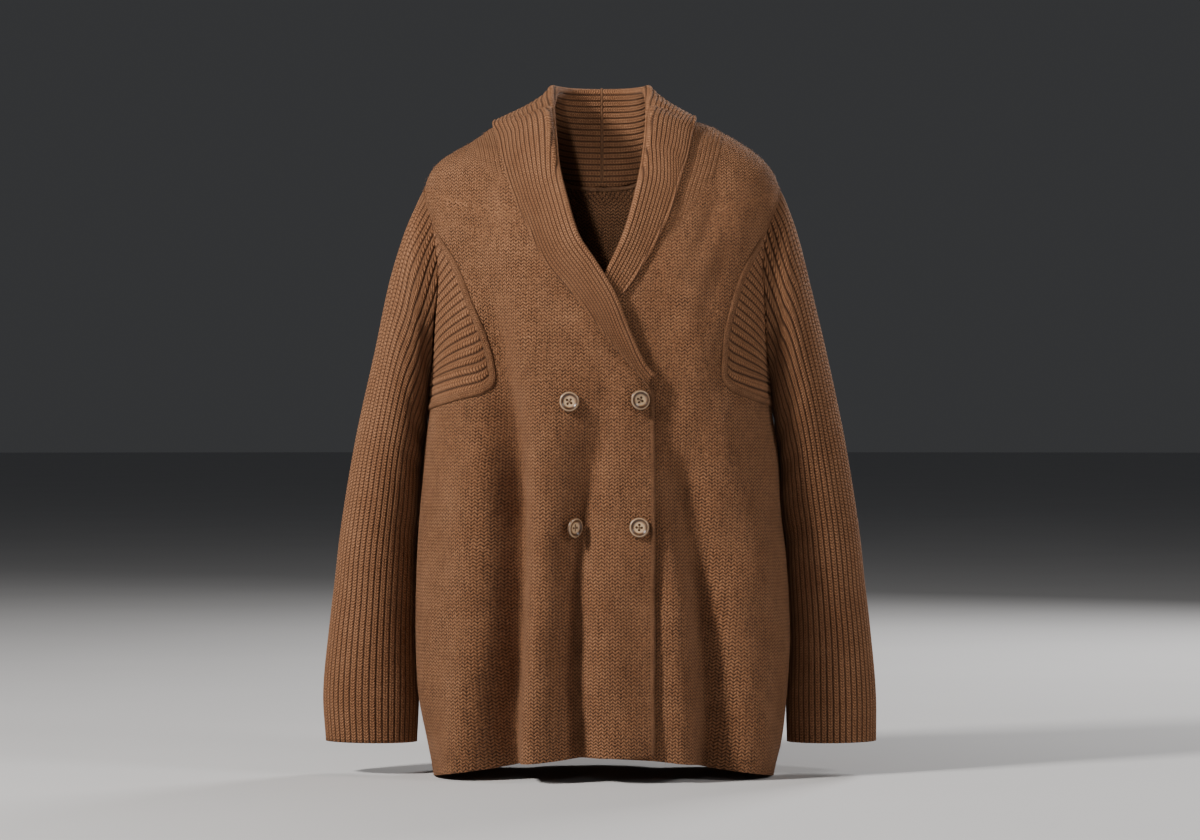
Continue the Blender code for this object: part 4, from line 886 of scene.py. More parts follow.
# height, outline of the left sleeve, outline of the right sleeve, in mm
SLEEVE_OUTLINE = np.array(((-653, 291, 289), (-620, 294.5, 290), (-571, 291.5, 286), (-522, 287, 282),
                           (-470, 282, 276), (-413, 273.5, 269.5), (-348, 263, 259), (-291, 251, 247),
                           (-209, 232, 229), (-132, 214, 209), (-109, 204.5, 203), (-69, 187, 187))) * MM
SLEEVE_CLEAR = 4.2 * MM
CUFF_INSIDE = 199 * MM
SLEEVE_EDGE = 2.3 * MM
SLEEVE_LAP = 3.4 * MM
SLEEVE_RIBS = 44
SLEEVE_COLUMNS = 8        # for each rib
SLEEVE_STEPS = 12
SLEEVE_RIB_HEIGHT = 1.5 * MM
SLEEVE_PITCH = 6 * MM
SLEEVE_HEAD_WIDTH = 106 * MM    # the ribs' whole spread at the shoulder
SLEEVE_HEAD_RINGS = 5           # the ring where it has eased off
SLEEVE_POINTS = 720             # round each ring, before the ribs are laid


def oval(place):
    """1 on the body's skin, more outside it and less inside."""
    sizes = smooth(BODY_SECTIONS[:, 0], BODY_SECTIONS[:, 1:], place[..., 2])
    left, right, front, back = np.moveaxis(sizes, -1, 0)
    across = np.abs(place[..., 0]) / np.where(place[..., 0] > 0, right, left)
    along = np.abs(place[..., 1]) / np.where(place[..., 1] > 0, back, front)
    return (across ** ROUNDNESS + along ** ROUNDNESS) ** (1 / ROUNDNESS)


def off_skin(place):
    """How far places lie outside the body's skin, and the way out from there."""
    step = 0.2 * MM
    here = oval(place)
    rise = np.stack([(oval(place + np.eye(3)[k] * step) - here) / step for k in range(3)], -1)
    steep = np.linalg.norm(rise, axis=-1)
    return (here - 1) / steep, rise / steep[..., None]


def set_off(place, wanted, under, only_out=False):
    """Moves places along the way out until they lie this far off the skin, or off the lower front."""
    for _ in range(3):
        gap, out = off_skin(place)
        short = wanted - gap - under * under_share(place[..., 0], place[..., 2])
        if only_out:
            short = np.maximum(short, 0.0)
        place = place + out * np.asarray(short)[..., None]
    return place


def sleeve_rings(side):
    """The sleeve's rings, each a closed loop of points, from the armhole to the cuff."""
    turns = np.linspace(0, 2 * math.pi, 97)[:-1]
    edge = np.array([armhole(turn, side) for turn in turns])
    place = skin(edge[:, 0], edge[:, 1])
    normal = skin_normal(edge[:, 0], edge[:, 1])
    centre = np.stack((place[:, 0], 0 * turns, 0 * turns + 0.5 * (ARMHOLE_TOP + ARMHOLE_BOTTOM) * MM), -1)
    inward = (centre - place) - normal * np.sum((centre - place) * normal, axis=1, keepdims=True)
    inward /= np.linalg.norm(inward, axis=1, keepdims=True)
    below = ease(math.radians(80), math.radians(125), math.pi - np.abs(math.pi - turns))[:, None]
    rings = [place + inward * SLEEVE_EDGE + normal * SLEEVE_LAP * below]
    for row in SLEEVE_RINGS:
        height_out, height_in, middle, ahead, behind = np.array(row) * MM
        x_out = side * smooth(SLEEVE_OUTLINE[:, 0], SLEEVE_OUTLINE[:, 1 if side < 0 else 2], height_out)
        sizes = smooth(BODY_SECTIONS[:, 0], BODY_SECTIONS[:, 1:], height_in)
        half = sizes[0] if side < 0 else sizes[1]
        body = half * (1 - (middle / sizes[3]) ** ROUNDNESS) ** (1 / ROUNDNESS)
        free = ease(-560 * MM, -654 * MM, height_in)
        x_in = side * ((body + SLEEVE_CLEAR) * (1 - free) + CUFF_INSIDE * free)
        outside = np.array((x_out, middle, height_out))
        inside = np.array((x_in, middle, height_in))
        reach = np.where(np.sin(turns) > 0, ahead, behind)
        ring = 0.5 * (outside + inside) + 0.5 * (outside - inside) * np.cos(turns)[:, None]
        ring[:, 1] -= reach * np.sin(turns)
        rings.append(set_off(ring, SLEEVE_CLEAR, 0.0, only_out=True))
    return rings


# Soft creases round the sleeve: ring it lies on, degrees round from the outside, spread in rings and
# degrees, how far in, how much it climbs for each 100 degrees
SLEEVE_CREASES = (
    (3.6, 150, 0.20, 46, 2.2, 0.25),
    (4.4, 130, 0.16, 40, 1.8, -0.2),
    (4.9, 95, 0.16, 38, 1.5, 0.2),
    (5.6, 140, 0.2, 44, 2.0, 0.25),
    (2.6, 215, 0.22, 50, 2.4, -0.3),
    (4.1, 235, 0.18, 44, 1.8, 0.3),
    (5.2, 225, 0.18, 40, 1.7, -0.2),
    (6.6, 60, 0.2, 45, 1.2, 0.2),
)
sleeve_rib = rib_knit("sleeve_rib", SLEEVE_PITCH, 3.0 * MM, 0.26, 1.0)


def rib_turns(grid, at):
    """Where each rib column crosses each row, so that the ribs run down beside the sleeve's outer side."""
    half = grid.shape[1] // 2
    wanted = np.linspace(0, 1, SLEEVE_RIBS * SLEEVE_COLUMNS // 2 + 1)
    index = np.arange(half + 1)
    column = 1 if grid[0, 0, 0] < 0 else 2
    found = []
    for row, place in zip(grid, at):
        sides = []
        for run in (row[:half + 1], np.vstack((row[half:], row[:1]))[::-1]):
            outline = smooth(SLEEVE_OUTLINE[:, 0], SLEEVE_OUTLINE[:, column], run[:, 2])
            inward = outline - np.abs(run[:, 0])
            inward = inward - inward[0]
            full = inward[-1]
            wide = full + (SLEEVE_HEAD_WIDTH - full) * (1 - ease(0, SLEEVE_HEAD_RINGS, place))
            share = np.arccos(1 - 2 * np.clip(inward / max(wide, full), 0, 1)) / math.pi
            share = np.maximum.accumulate(np.maximum(share, 0.5 * index / half)) + index * 1e-6
            share = share + (1 - share[-1]) * (index / half) ** 5
            sides.append(np.interp(wanted, share, index))
        found.append(np.concatenate((sides[0], 2 * half - sides[1][-2:0:-1])))
    return np.array(found)


def add_sleeve(name, side):
    """A tube of lengthwise ribs, set on the armhole at its upper end and open at the cuff."""
    count = SLEEVE_RIBS * SLEEVE_COLUMNS
    rings = [resample(ring, SLEEVE_POINTS, closed=True) for ring in sleeve_rings(side)]
    grid = finer(np.array(rings), SLEEVE_STEPS)
    at = np.linspace(0, len(rings) - 1, len(grid))
    turns = rib_turns(grid, at)
    low = np.floor(turns).astype(int)
    part = (turns - low)[..., None]
    row = np.arange(len(grid))[:, None]
    grid = grid[row, low % SLEEVE_POINTS] * (1 - part) + grid[row, (low + 1) % SLEEVE_POINTS] * part
    at = at[:, None]
    around = np.arange(count)[None] / count * 360
    if side > 0:
        grid = np.roll(grid[:, ::-1], 1, axis=1)
        around = (360 - around) % 360
    grid = grid[::-1]
    at = at[::-1]
    normals = grid_normals(grid, closed=True)
    centres = grid.mean(axis=1, keepdims=True)
    if np.sum(normals * (grid - centres)) < 0:
        normals = -normals
        flip = True
    else:
        flip = False
    sunk = np.zeros((len(grid), count))
    for ring, degrees, ring_spread, degree_spread, deep, climb in SLEEVE_CREASES:
        away = (around - degrees + 180) % 360 - 180
        line = ring + climb * away / 100
        near = ((at - line) / ring_spread) ** 2 + (away / degree_spread) ** 2
        sunk += deep * MM * np.exp(-0.5 * near)
    grid = grid - normals * sunk[..., None]
    along = np.cumsum(np.linalg.norm(np.gradient(grid.mean(axis=1), axis=0), axis=1))[:, None]
    phase = np.arange(count + 1) / SLEEVE_COLUMNS
    edge = ease(0.0, 4 * MM, along)
    height = SLEEVE_RIB_HEIGHT * (0.35 + 0.65 * edge)
    outside = grid + normals * (0.5 * RIB_WALL + rib_profile(phase[:-1])[None] * height)[..., None]
    inside = (grid - normals * 0.5 * RIB_WALL)[:, ::RIB_RATIO]
    places = np.stack(np.broadcast_arrays(phase[None] * SLEEVE_PITCH, along), -1)
    if flip:
        outside = np.roll(outside[:, ::-1], 1, axis=1)
        inside = np.roll(inside[:, ::-1], 1, axis=1)
    return add_rib_wall(name, outside, inside, places, closed=True)


for name, side in (("left", -1), ("right", 1)):
    sleeve = add_sleeve(f"sleeve_{name}_knit", side)
    finish_piece(sleeve, sleeve_rib, "rib_knit", f"sleeve_{name}")

# ---------------------------------------------------------------- shoulder ribs and armhole bands
# Beside the collar a few short ribs run down from the shoulder and fade into the jersey, where it is
# shaped. Round each armhole the cloth's edge is a narrow smooth band.

RIB_SPACING = 4.7 * MM
RIB_POINTS = 36
BAND_LINE = 2.3 * MM      # how far the band's middle lies outside the armhole's edge
# The shoulder ribs' two sides are painted shade, where they meet the jersey.
shoulder_jersey = jersey("shoulder_rib", 10 * MM, 2.9 * MM, 0.8, 0.5, STRIP_GIRTH)
band_jersey = jersey("armhole_band", 3 * MM, 2.9 * MM, 0.3, 0.8)
# x and height beside the collar's edge, in mm, and the height where each rib ends, from the collar outwards
SHOULDER_RIBS = (
    ("left", ((-113, 4), (-114.5, -6), (-112, -16), (-109, -27), (-104, -50), (-95, -82)),
     (-78, -74, -68, -62, -54)),
    ("right", ((100, 6), (101, -4), (99, -12), (96, -24), (91, -45), (84, -68), (74, -100), (60, -134),
               (42, -166)),
     (-160, -146, -128, -108, -92, -76)),
)
for name, beside, ends in SHOULDER_RIBS:
    rows = np.array(beside) * MM
    for number, end in enumerate(ends):
        heights = np.linspace(2 * MM, end * MM, RIB_POINTS)
        across = smooth(rows[::-1, 1], rows[::-1, 0], heights)
        across = across + np.sign(across) * (number + 0.6) * RIB_SPACING
        angles = np.array([angle_of_x(x, h) for x, h in zip(across, heights)])
        under = UNDER_INSET if name == "right" else 0.0
        normals = skin_normal(angles, heights, under)
        faded = 0.8 * ease(0.55, 1.0, np.linspace(0, 1, RIB_POINTS))
        lift = 0.5 * BODY_WALL - 0.35 * MM - 0.5 * MM * faded
        path = skin(angles, heights, under) + normals * lift[:, None]
        rib = add_strip(f"shoulder_{name}_rib_{number + 1}", path, normals, 2.15 * MM, 1.25 * MM, steps=8,
                        taper=8)
        finish_piece(rib, shoulder_jersey, "brushed_jersey")

for name, side in (("left", -1), ("right", 1)):
    turns = np.radians(np.linspace(-176, 62, 150))
    edge = np.array([armhole(turn % math.tau, side) for turn in turns])
    place = skin(edge[:, 0], edge[:, 1])
    normals = skin_normal(edge[:, 0], edge[:, 1])
    centre = np.stack((place[:, 0], 0 * turns, 0 * turns + 0.5 * (ARMHOLE_TOP + ARMHOLE_BOTTOM) * MM), -1)
    outward = (place - centre) - normals * np.sum((place - centre) * normals, axis=1, keepdims=True)
    outward /= np.linalg.norm(outward, axis=1, keepdims=True)
    path = place + outward * BAND_LINE + normals * (0.5 * BODY_WALL - 0.3 * MM)
    band = add_strip(f"armhole_{name}_band", path, normals, 2.2 * MM, 1.2 * MM, steps=8, taper=4)
    finish_piece(band, band_jersey, "brushed_jersey")

# ---------------------------------------------------------------- collar
# A shawl collar in two halves, knitted in ribs along its length and joined at the centre back. Stand and
# fall are one piece that turns over at the fold, and a plain smooth rib finishes the outer edge.

# x and height of the seam, x, height and y of the fold (None: on the body), x and height of the edge,
# radius of the roll at the fold, extra lift of the fold, in mm
COLLAR_SIDE = 7
COLLAR_LEFT = (
    (0, -61, 0, 42, 70, 0, -68, 4.2, 0),
    (-22, -60, -18, 42, 67, -32, -63, 4.2, 0),
    (-42, -53, -34, 42, 57, -64, -46, 4.2, 0),
    (-56, -31, -45, 42, 39, -92, -21, 4.2, 0),
    (-66, -8, -49.5, 41, 18, -104, -9, 4.2, 0),
    (-69, 3, -50.3, 39.5, 11, -108.5, -5, 4.2, 0),
    (-70, 9.5, -50.8, 37.5, 4, -111, -3.5, 4.2, 0),
    (-72.5, 9.5, -51, 33, -4, -112, -3.2, 4, 0),
    (-70, 9.5, -51.3, 26, -13, -111.5, -8, 4, 0),
    (-73.5, 3, -51.6, 17, -22.5, -109, -16, 3.8, 0),
    (-77, -8, -51.2, 5, -34, -106, -27, 3.7, 0),
    (-79, -31, -49, -16, -53, -101, -50, 3.4, 0),
    (-73, -62, -45, -50, -81, -91, -82, 3, 0),
    (-64, -95, -37.5, -82, None, -77.5, -113, 2.75, 0),
    (-50, -127, -26, -122, None, -60, -148, 2.75, 1),
    (-32, -157, -8, -151, None, -36, -177, 2.75, 2.5),
    (-9, -187, 12.5, -186, None, -10, -209, 2.75, 2.5),
    (14, -225, 27, -220, None, 12.5, -239, 2.75, 1),
    (36, -259, 41.5, -252, None, 34, -263, 2.4, 0),
    (44, -271, 53, -267, None, 48, -281, 2, -0.4),
)
COLLAR_RIGHT = (
    (0, -61, 0, 42, 70, 0, -68, 4.2, 0),
    (22, -60, 18, 42, 67, 28, -63, 4.2, 0),
    (42, -53, 33, 42, 57, 58, -47, 4.2, 0),
    (56, -31, 43, 42, 39, 82, -20, 4.2, 0),
    (66, -8, 46.5, 41, 18, 92, -5, 4.2, 0),
    (69, 3, 47.2, 39.5, 11, 96, -0.5, 4.2, 0),
    (70, 9.5, 47.7, 37.5, 4, 98.5, 1.3, 4.2, 0),
    (72.5, 9.5, 48, 33, -4, 99.5, 2, 4, 0),
    (70, 9.5, 48, 26, -13, 97.5, 0, 4, 0),
    (73, 3, 48, 17, -22.5, 95.5, -8, 3.8, 0),
    (74.5, -8, 47.8, 5, -34, 92.5, -20, 3.7, 0),
    (71.5, -31, 46, -16, -53, 88, -42, 3.4, 0),
    (64, -56, 42, -46, -78, 81, -65, 3, 0),
    (57, -83, 35, -80, None, 71, -97, 2.75, 0),
    (46, -114, 24.5, -116, None, 56, -132, 2.5, -0.4),
    (34, -145, 11, -149, None, 37, -164, 2.2, -0.8),
    (4, -187, -2, -172, None, 10, -201, 2, -1.2),
)
STAND_LIFT = 0.8 * MM
FOLD_LIFT = 2 * MM
EDGE_LIFT = 4.2 * MM
FALL_FOLLOW = 0.5         # how far the fall goes on down from the roll before it spreads
FALL_EASE = 0.25          # and how much less it does so at the shoulder
STAND_GAP = 1.4 * MM      # between the stand's foot and the neck seam
STAND_GAP_STEEP = 2.2 * MM      # and more where the stand meets the body squarely
STAND_STEPS = 48
ROLL_STEPS = 14
FALL_STEPS = 60
COLLAR_CUT = 0.34         # rows of the table between two sections
COLLAR_STEPS = 3          # fine rows for each section
COLLAR_COLUMNS = 7        # for each rib
COLLAR_PITCH = 6.3 * MM
STAND_PITCH = 6.3 * MM
FALL_RIBS = 13
FALL_PITCH = 4.9 * MM
COLLAR_RIB_HEIGHT = 1.5 * MM
EDGE_BAND = 3.6 * MM
EDGE_BAND_HEIGHT = 1.3 * MM
ROOM = 2.5 * MM           # over which the ribs flatten towards the seam and the outer rib


def collar_row(row, k, side, under):
    """Seam, fold and edge of one row of a collar table, its roll's radius and its edge's lift."""
    behind = k < COLLAR_SIDE
    roll = row[7] * MM
    if k == COLLAR_SIDE:
        seam = skin(side * math.pi / 2, row[1] * MM)
    else:
        seam = on_skin(row[0] * MM, row[1] * MM, 0.0, behind, under)
    if row[4] is None:
        fold = on_skin(row[2] * MM, row[3] * MM, FOLD_LIFT + roll + row[8] * MM, under=under)
    else:
        fold = np.array((row[2], row[4], row[3])) * MM
    edge_lift = EDGE_LIFT + min(row[8], 0) * MM
    edge = on_skin(row[5] * MM, row[6] * MM, edge_lift, behind, under)
    return (*seam, *fold, *edge, roll, edge_lift)


def unit(vector):
    """The vector with a length of one."""
    return vector / np.linalg.norm(vector)


def collar_sections(table, side, under):
    """The middle line of the collar's cloth at each section, from the neck seam over the fold to the edge.

    Rows of the table are given one by one, and the sections lie COLLAR_CUT of a row apart.
    """
    rows = np.array([collar_row(row, k, side, under) for k, row in enumerate(table)])
    stations = np.arange(len(table))
    last = len(table) - 1
    sections = []
    for cut in np.linspace(0, last, int(round(last / COLLAR_CUT)) + 1):
        places = smooth(stations, rows, cut)
        seam = set_off(places[0:3], STAND_LIFT * ease(COLLAR_SIDE + 2, COLLAR_SIDE + 6, cut), under)
        fold = places[3:6]
        edge = set_off(places[6:9], places[10], under)
        roll = places[9]
        along = smooth(stations, rows, cut + 0.2)[3:6] - smooth(stations, rows, cut - 0.2)[3:6]
        if cut == 0:
            along = np.array((side, 0.0, 0.0))
        out = unit(np.cross(fold - seam, along))
        if np.dot(out, (fold[0], fold[1] - 20 * MM, 0.0)) < 0:
            out = -out
        up = unit(np.cross(along, out))
        if np.dot(up, fold - seam) < 0:
            up = -up
        steep = abs(np.dot(up, off_skin(seam)[1]))
        start = seam + up * (STAND_GAP + STAND_GAP_STEEP * steep)
        centre = fold - up * roll
        before = centre - out * roll
        after = centre + out * roll
        at_shoulder = ease(2, 4, cut) * (1 - ease(COLLAR_SIDE + 2, COLLAR_SIDE + 5, cut))
        follow = FALL_FOLLOW - FALL_EASE * at_shoulder
        bend = after - up * follow * np.linalg.norm(after - edge)
        t = np.linspace(0, 1, STAND_STEPS + 1)[:, None]
        stand = start * (1 - t) + before * t
        turn = (math.pi * np.arange(1, ROLL_STEPS) / ROLL_STEPS)[:, None]
        turned = centre - out * roll * np.cos(turn) + up * roll * np.sin(turn)
        t = np.linspace(0, 1, FALL_STEPS + 1)[:, None]
        fall = after * (1 - t) ** 2 + bend * 2 * t * (1 - t) + edge * t ** 2
        low = fall[:, 2] < 12 * MM
        fall[low] = set_off(fall[low], places[10], under, only_out=True)
        sections.append(np.concatenate((stand, turned, fall)))
    return np.array(sections)


collar_rib = rib_knit("collar_rib", COLLAR_PITCH, 2.8 * MM, 0.26, 1.0)


def widening(ribs):
    """How many average rib widths a number of ribs takes up from the fold, where the first few are wider."""
    return 0.84 * ribs + 1.9 * (1 - np.exp(-ribs / 4.0))


def add_collar(name, side, table, under, narrow):
    """One half of the collar, whose ribs run beside the fold, and the middle line of its cloth."""
    sections = finer(collar_sections(table, side, under), COLLAR_STEPS)
    sections[0, :, 0] = side * 0.05 * MM
    normals = grid_normals(sections)
    if normals[0, STAND_STEPS // 2, 1] > 0:
        normals = -normals
        flip = True
    else:
        flip = False
    normals[0, :, 0] = 0.0
    normals /= np.linalg.norm(normals, axis=2, keepdims=True)
    step = np.linalg.norm(np.diff(sections, axis=1), axis=2)
    reach = np.concatenate((np.zeros((len(sections), 1)), np.cumsum(step, axis=1)), axis=1)
    reach -= reach[:, [STAND_STEPS + ROLL_STEPS // 2]]
    station = np.linspace(0, len(table) - 1, len(sections))
    least = FALL_PITCH * (1 - narrow * ease(9, len(table) - 1, station))
    fall_pitch = np.maximum((reach[:, -1] - EDGE_BAND) / widening(FALL_RIBS), least)
    stand_ribs = int(np.ceil((-reach[:, 0] / STAND_PITCH).max()))
    phase = np.arange(-stand_ribs * COLLAR_COLUMNS, FALL_RIBS * COLLAR_COLUMNS + 1) / COLLAR_COLUMNS
    band = np.linspace(0, 1, 9)[1:]
    total = len(phase) + len(band)
    spare = (-total + 1) % RIB_RATIO
    points = np.zeros((len(sections), total + spare, 3))
    ways = np.zeros_like(points)
    raised = np.zeros((len(sections), total + spare))
    places = np.zeros((len(sections), total + spare, 2))
    along = np.cumsum(np.linalg.norm(np.gradient(sections[:, STAND_STEPS + ROLL_STEPS // 2], axis=0), axis=1))
    for k, (section, normal, run) in enumerate(zip(sections, normals, reach)):
        band_start = run[-1] - EDGE_BAND
        wanted = np.where(phase > 0, widening(phase) * fall_pitch[k], phase * STAND_PITCH)
        kept = np.clip(wanted, run[0], band_start)
        at = np.concatenate((kept, band_start + band * EDGE_BAND, np.full(spare, run[-1])))
        for axis in range(3):
            points[k, :, axis] = np.interp(at, run, section[:, axis])
            ways[k, :, axis] = np.interp(at, run, normal[:, axis])
        room = ease(0.0, ROOM, band_start - kept) * ease(0.0, ROOM, kept - run[0])
        deep = 1.0 - 0.35 * ease(2.0, 7.0, phase)
        high = COLLAR_RIB_HEIGHT * deep * np.where(phase > 0, (fall_pitch[k] / FALL_PITCH) ** 0.5, 1.0)
        raised[k, :len(phase)] = rib_profile(phase) * high * room
        arch = np.sin(np.pi * np.clip(band * 0.86 + 0.06, 0, 1)) ** 0.7
        raised[k, len(phase):total] = EDGE_BAND_HEIGHT * arch
        end_phase = np.interp(band_start, wanted, phase)
        cut_phase = np.interp(kept, wanted, phase)
        over_band = end_phase + band * EDGE_BAND / FALL_PITCH
        counted = np.concatenate((cut_phase, over_band, np.full(spare, end_phase + 1)))
        places[k, :, 0] = counted * COLLAR_PITCH
        places[k, :, 1] = along[k]
    ways /= np.linalg.norm(ways, axis=2, keepdims=True)
    outside = points + ways * (0.5 * RIB_WALL + raised[..., None])
    inside = (points - ways * 0.5 * RIB_WALL)[:, ::RIB_RATIO]
    if flip:
        outside, inside, places = outside[::-1], inside[::-1], places[::-1]
    made = add_rib_wall(name, outside, inside, places)
    shape = bmesh.new()
    shape.from_mesh(made.data)
    bmesh.ops.remove_doubles(shape, verts=shape.verts, dist=0.02 * MM)
    bmesh.ops.dissolve_degenerate(shape, edges=shape.edges, dist=0.01 * MM)
    shape.to_mesh(made.data)
    shape.free()
    return made, sections


for name, side, table, under, narrow, area in (("left", -1, COLLAR_LEFT, 0.0, 0.42, 0.049),
                                               ("right", 1, COLLAR_RIGHT, UNDER_INSET, 0.3, 0.04)):
    collar, collar_lines = add_collar(f"collar_{name}_knit", side, table, under, narrow)
    finish_piece(collar, collar_rib, "rib_knit", f"collar_{name}")

# ---------------------------------------------------------------- neck and collar seams
# Inside, a rolled strip of jersey covers the joint of collar and back, and the collar's halves meet in a
# fine raised seam up the middle of the stand.

seam_jersey = jersey("seam_jersey", 2.5 * MM, 2.6 * MM, 0.25, 0.8, base=YARN_LIGHT)
# x and height along the back neck, in mm
NECK_SEAM = ((-56, -33), (-50, -45), (-42, -55), (-32, -60), (-16, -62), (0, -63), (16, -62), (32, -60),
             (42, -55), (50, -45), (56, -33))
neck_rows = []
for x_in, height_in in NECK_SEAM:
    neck_rows.append((angle_of_x(x_in * MM, height_in * MM, back=True) % math.tau, height_in * MM))
neck_line = finer(neck_rows, 10)
neck_angles = (neck_line[:, 0] + math.pi) % math.tau - math.pi
neck_normals = -skin_normal(neck_angles, neck_line[:, 1])
neck_path = skin(neck_angles, neck_line[:, 1]) + neck_normals * 1.4 * MM
neck_seam = add_strip("neck_seam_roll", neck_path, neck_normals, 2.2 * MM, 3.2 * MM, steps=12)
finish_piece(neck_seam, seam_jersey, "brushed_jersey", "neck_seam")

run = resample(collar_lines[0], 160)[2:-2]
run[:, 0] = 0.0
seam_normals = np.cross(np.gradient(run, axis=0), (1.0, 0.0, 0.0))
seam_normals /= np.linalg.norm(seam_normals, axis=1, keepdims=True)
seam_normals *= -np.sign(seam_normals[10, 1])
run = run + seam_normals * (0.5 * RIB_WALL - 0.4 * MM)
collar_seam = add_strip("collar_seam_ridge", run, seam_normals, 1.3 * MM, 2.6 * MM, steps=8, taper=3)
finish_piece(collar_seam, seam_jersey, "rib_knit", "collar_seam")

# ---------------------------------------------------------------- buttons
# Four turned horn buttons in two rows, cream with a browner rim, with painted shade on the slope up to the
# rim and a painted highlight on its crown. Each has a dished face and four holes, and is sewn on with a
# crossed thread. They turn the way that the cloth under them faces.

# x and height in mm, turn of the holes in degrees, and how far it leans over on its thread, in degrees
BUTTONS = ((-34, -294, 8, 0), (38, -292, 20, 0), (-33, -423, 50, 11), (38, -423.5, 42, 0))
BUTTON_RADIUS = 10.5 * MM
BUTTON_THICK = 4.2 * MM
BUTTON_SEAT = 11.5 * MM   # radius of the cloth that it rests on
BUTTON_CLEAR = 0.6 * MM
BUTTON_HOLE = 1.3 * MM
BUTTON_HOLE_OUT = 2.7 * MM
BUTTON_SIDES = 64
# share of the radius, share of the thickness
BUTTON_PROFILE = ((0, 0.60), (0.15, 0.60), (0.35, 0.61), (0.50, 0.64), (0.60, 0.70), (0.66, 0.80),
                  (0.71, 0.92), (0.77, 0.99), (0.84, 1.0), (0.91, 0.94), (0.97, 0.80), (1.0, 0.60),
                  (0.985, 0.40), (0.93, 0.20), (0.84, 0.06), (0.70, 0.0), (0.0, 0.0))
THREAD_RADIUS = 0.17 * MM
# share of the radius, colour. The dark rings on the slope up to the rim are horn brown with painted shade,
# and the light rings on the rim's crown are a painted highlight.
HORN_RINGS_AND_PAINTED_LIGHT = ((0.46, (0.58, 0.40, 0.24, 1.0)), (0.57, (0.30, 0.17, 0.09, 1.0)),
              (0.63, (0.055, 0.025, 0.012, 1.0)), (0.80, (0.075, 0.035, 0.018, 1.0)),
              (0.86, (0.45, 0.31, 0.19, 1.0)), (0.92, (0.35, 0.22, 0.13, 1.0)))
HORN_MIDDLE = (0.62, 0.43, 0.27, 1.0)
HORN_RIM = (0.05, 0.024, 0.012, 1.0)
HORN_STREAK = (0.45, 0.28, 0.16, 1.0)

horn, tree, shader = new_material("cream_horn")
local = add_node(tree, "ShaderNodeUVMap", uv_map="knitting").outputs[0]
ring = add_node(tree, "ShaderNodeSeparateXYZ", {0: local}).outputs[0]
clouds = noise(tree, local, 3.0, 4.0, Distortion=0.8).outputs["Fac"]
ramp = add_node(tree, "ShaderNodeValToRGB", {0: ring})
stops = ramp.color_ramp.elements
stops[0].position, stops[0].color = 0.0, HORN_MIDDLE
stops[1].position, stops[1].color = 1.0, HORN_RIM
for place, colour in HORN_RINGS_AND_PAINTED_LIGHT:
    stops.new(place).color = colour
tone = blend_colour(tree, ranged(tree, clouds, 0.42, 0.7, 0.0, 0.45), ramp.outputs[0], HORN_STREAK)
tree.links.new(tone, shader.inputs["Base Color"])
tree.links.new(ranged(tree, clouds, 0.3, 0.7, 0.24, 0.42), shader.inputs["Roughness"])
shader.inputs["Coat Weight"].default_value = 0.12
shader.inputs["Subsurface Weight"].default_value = 0.08
shader.inputs["Subsurface Radius"].default_value = (0.003, 0.0015, 0.0008)

sewing, tree, shader = new_material("sewing_thread")
local = add_node(tree, "ShaderNodeTexCoord").outputs["Object"]
twist = add_node(tree, "ShaderNodeTexWave", {"Vector": local, "Scale": 900.0, "Distortion": 1.0})
tone = blend_colour(tree, twist.outputs["Fac"], (0.09, 0.05, 0.03, 1.0), (0.22, 0.13, 0.08, 1.0))
tree.links.new(tone, shader.inputs["Base Color"])
shader.inputs["Roughness"].default_value = 0.75


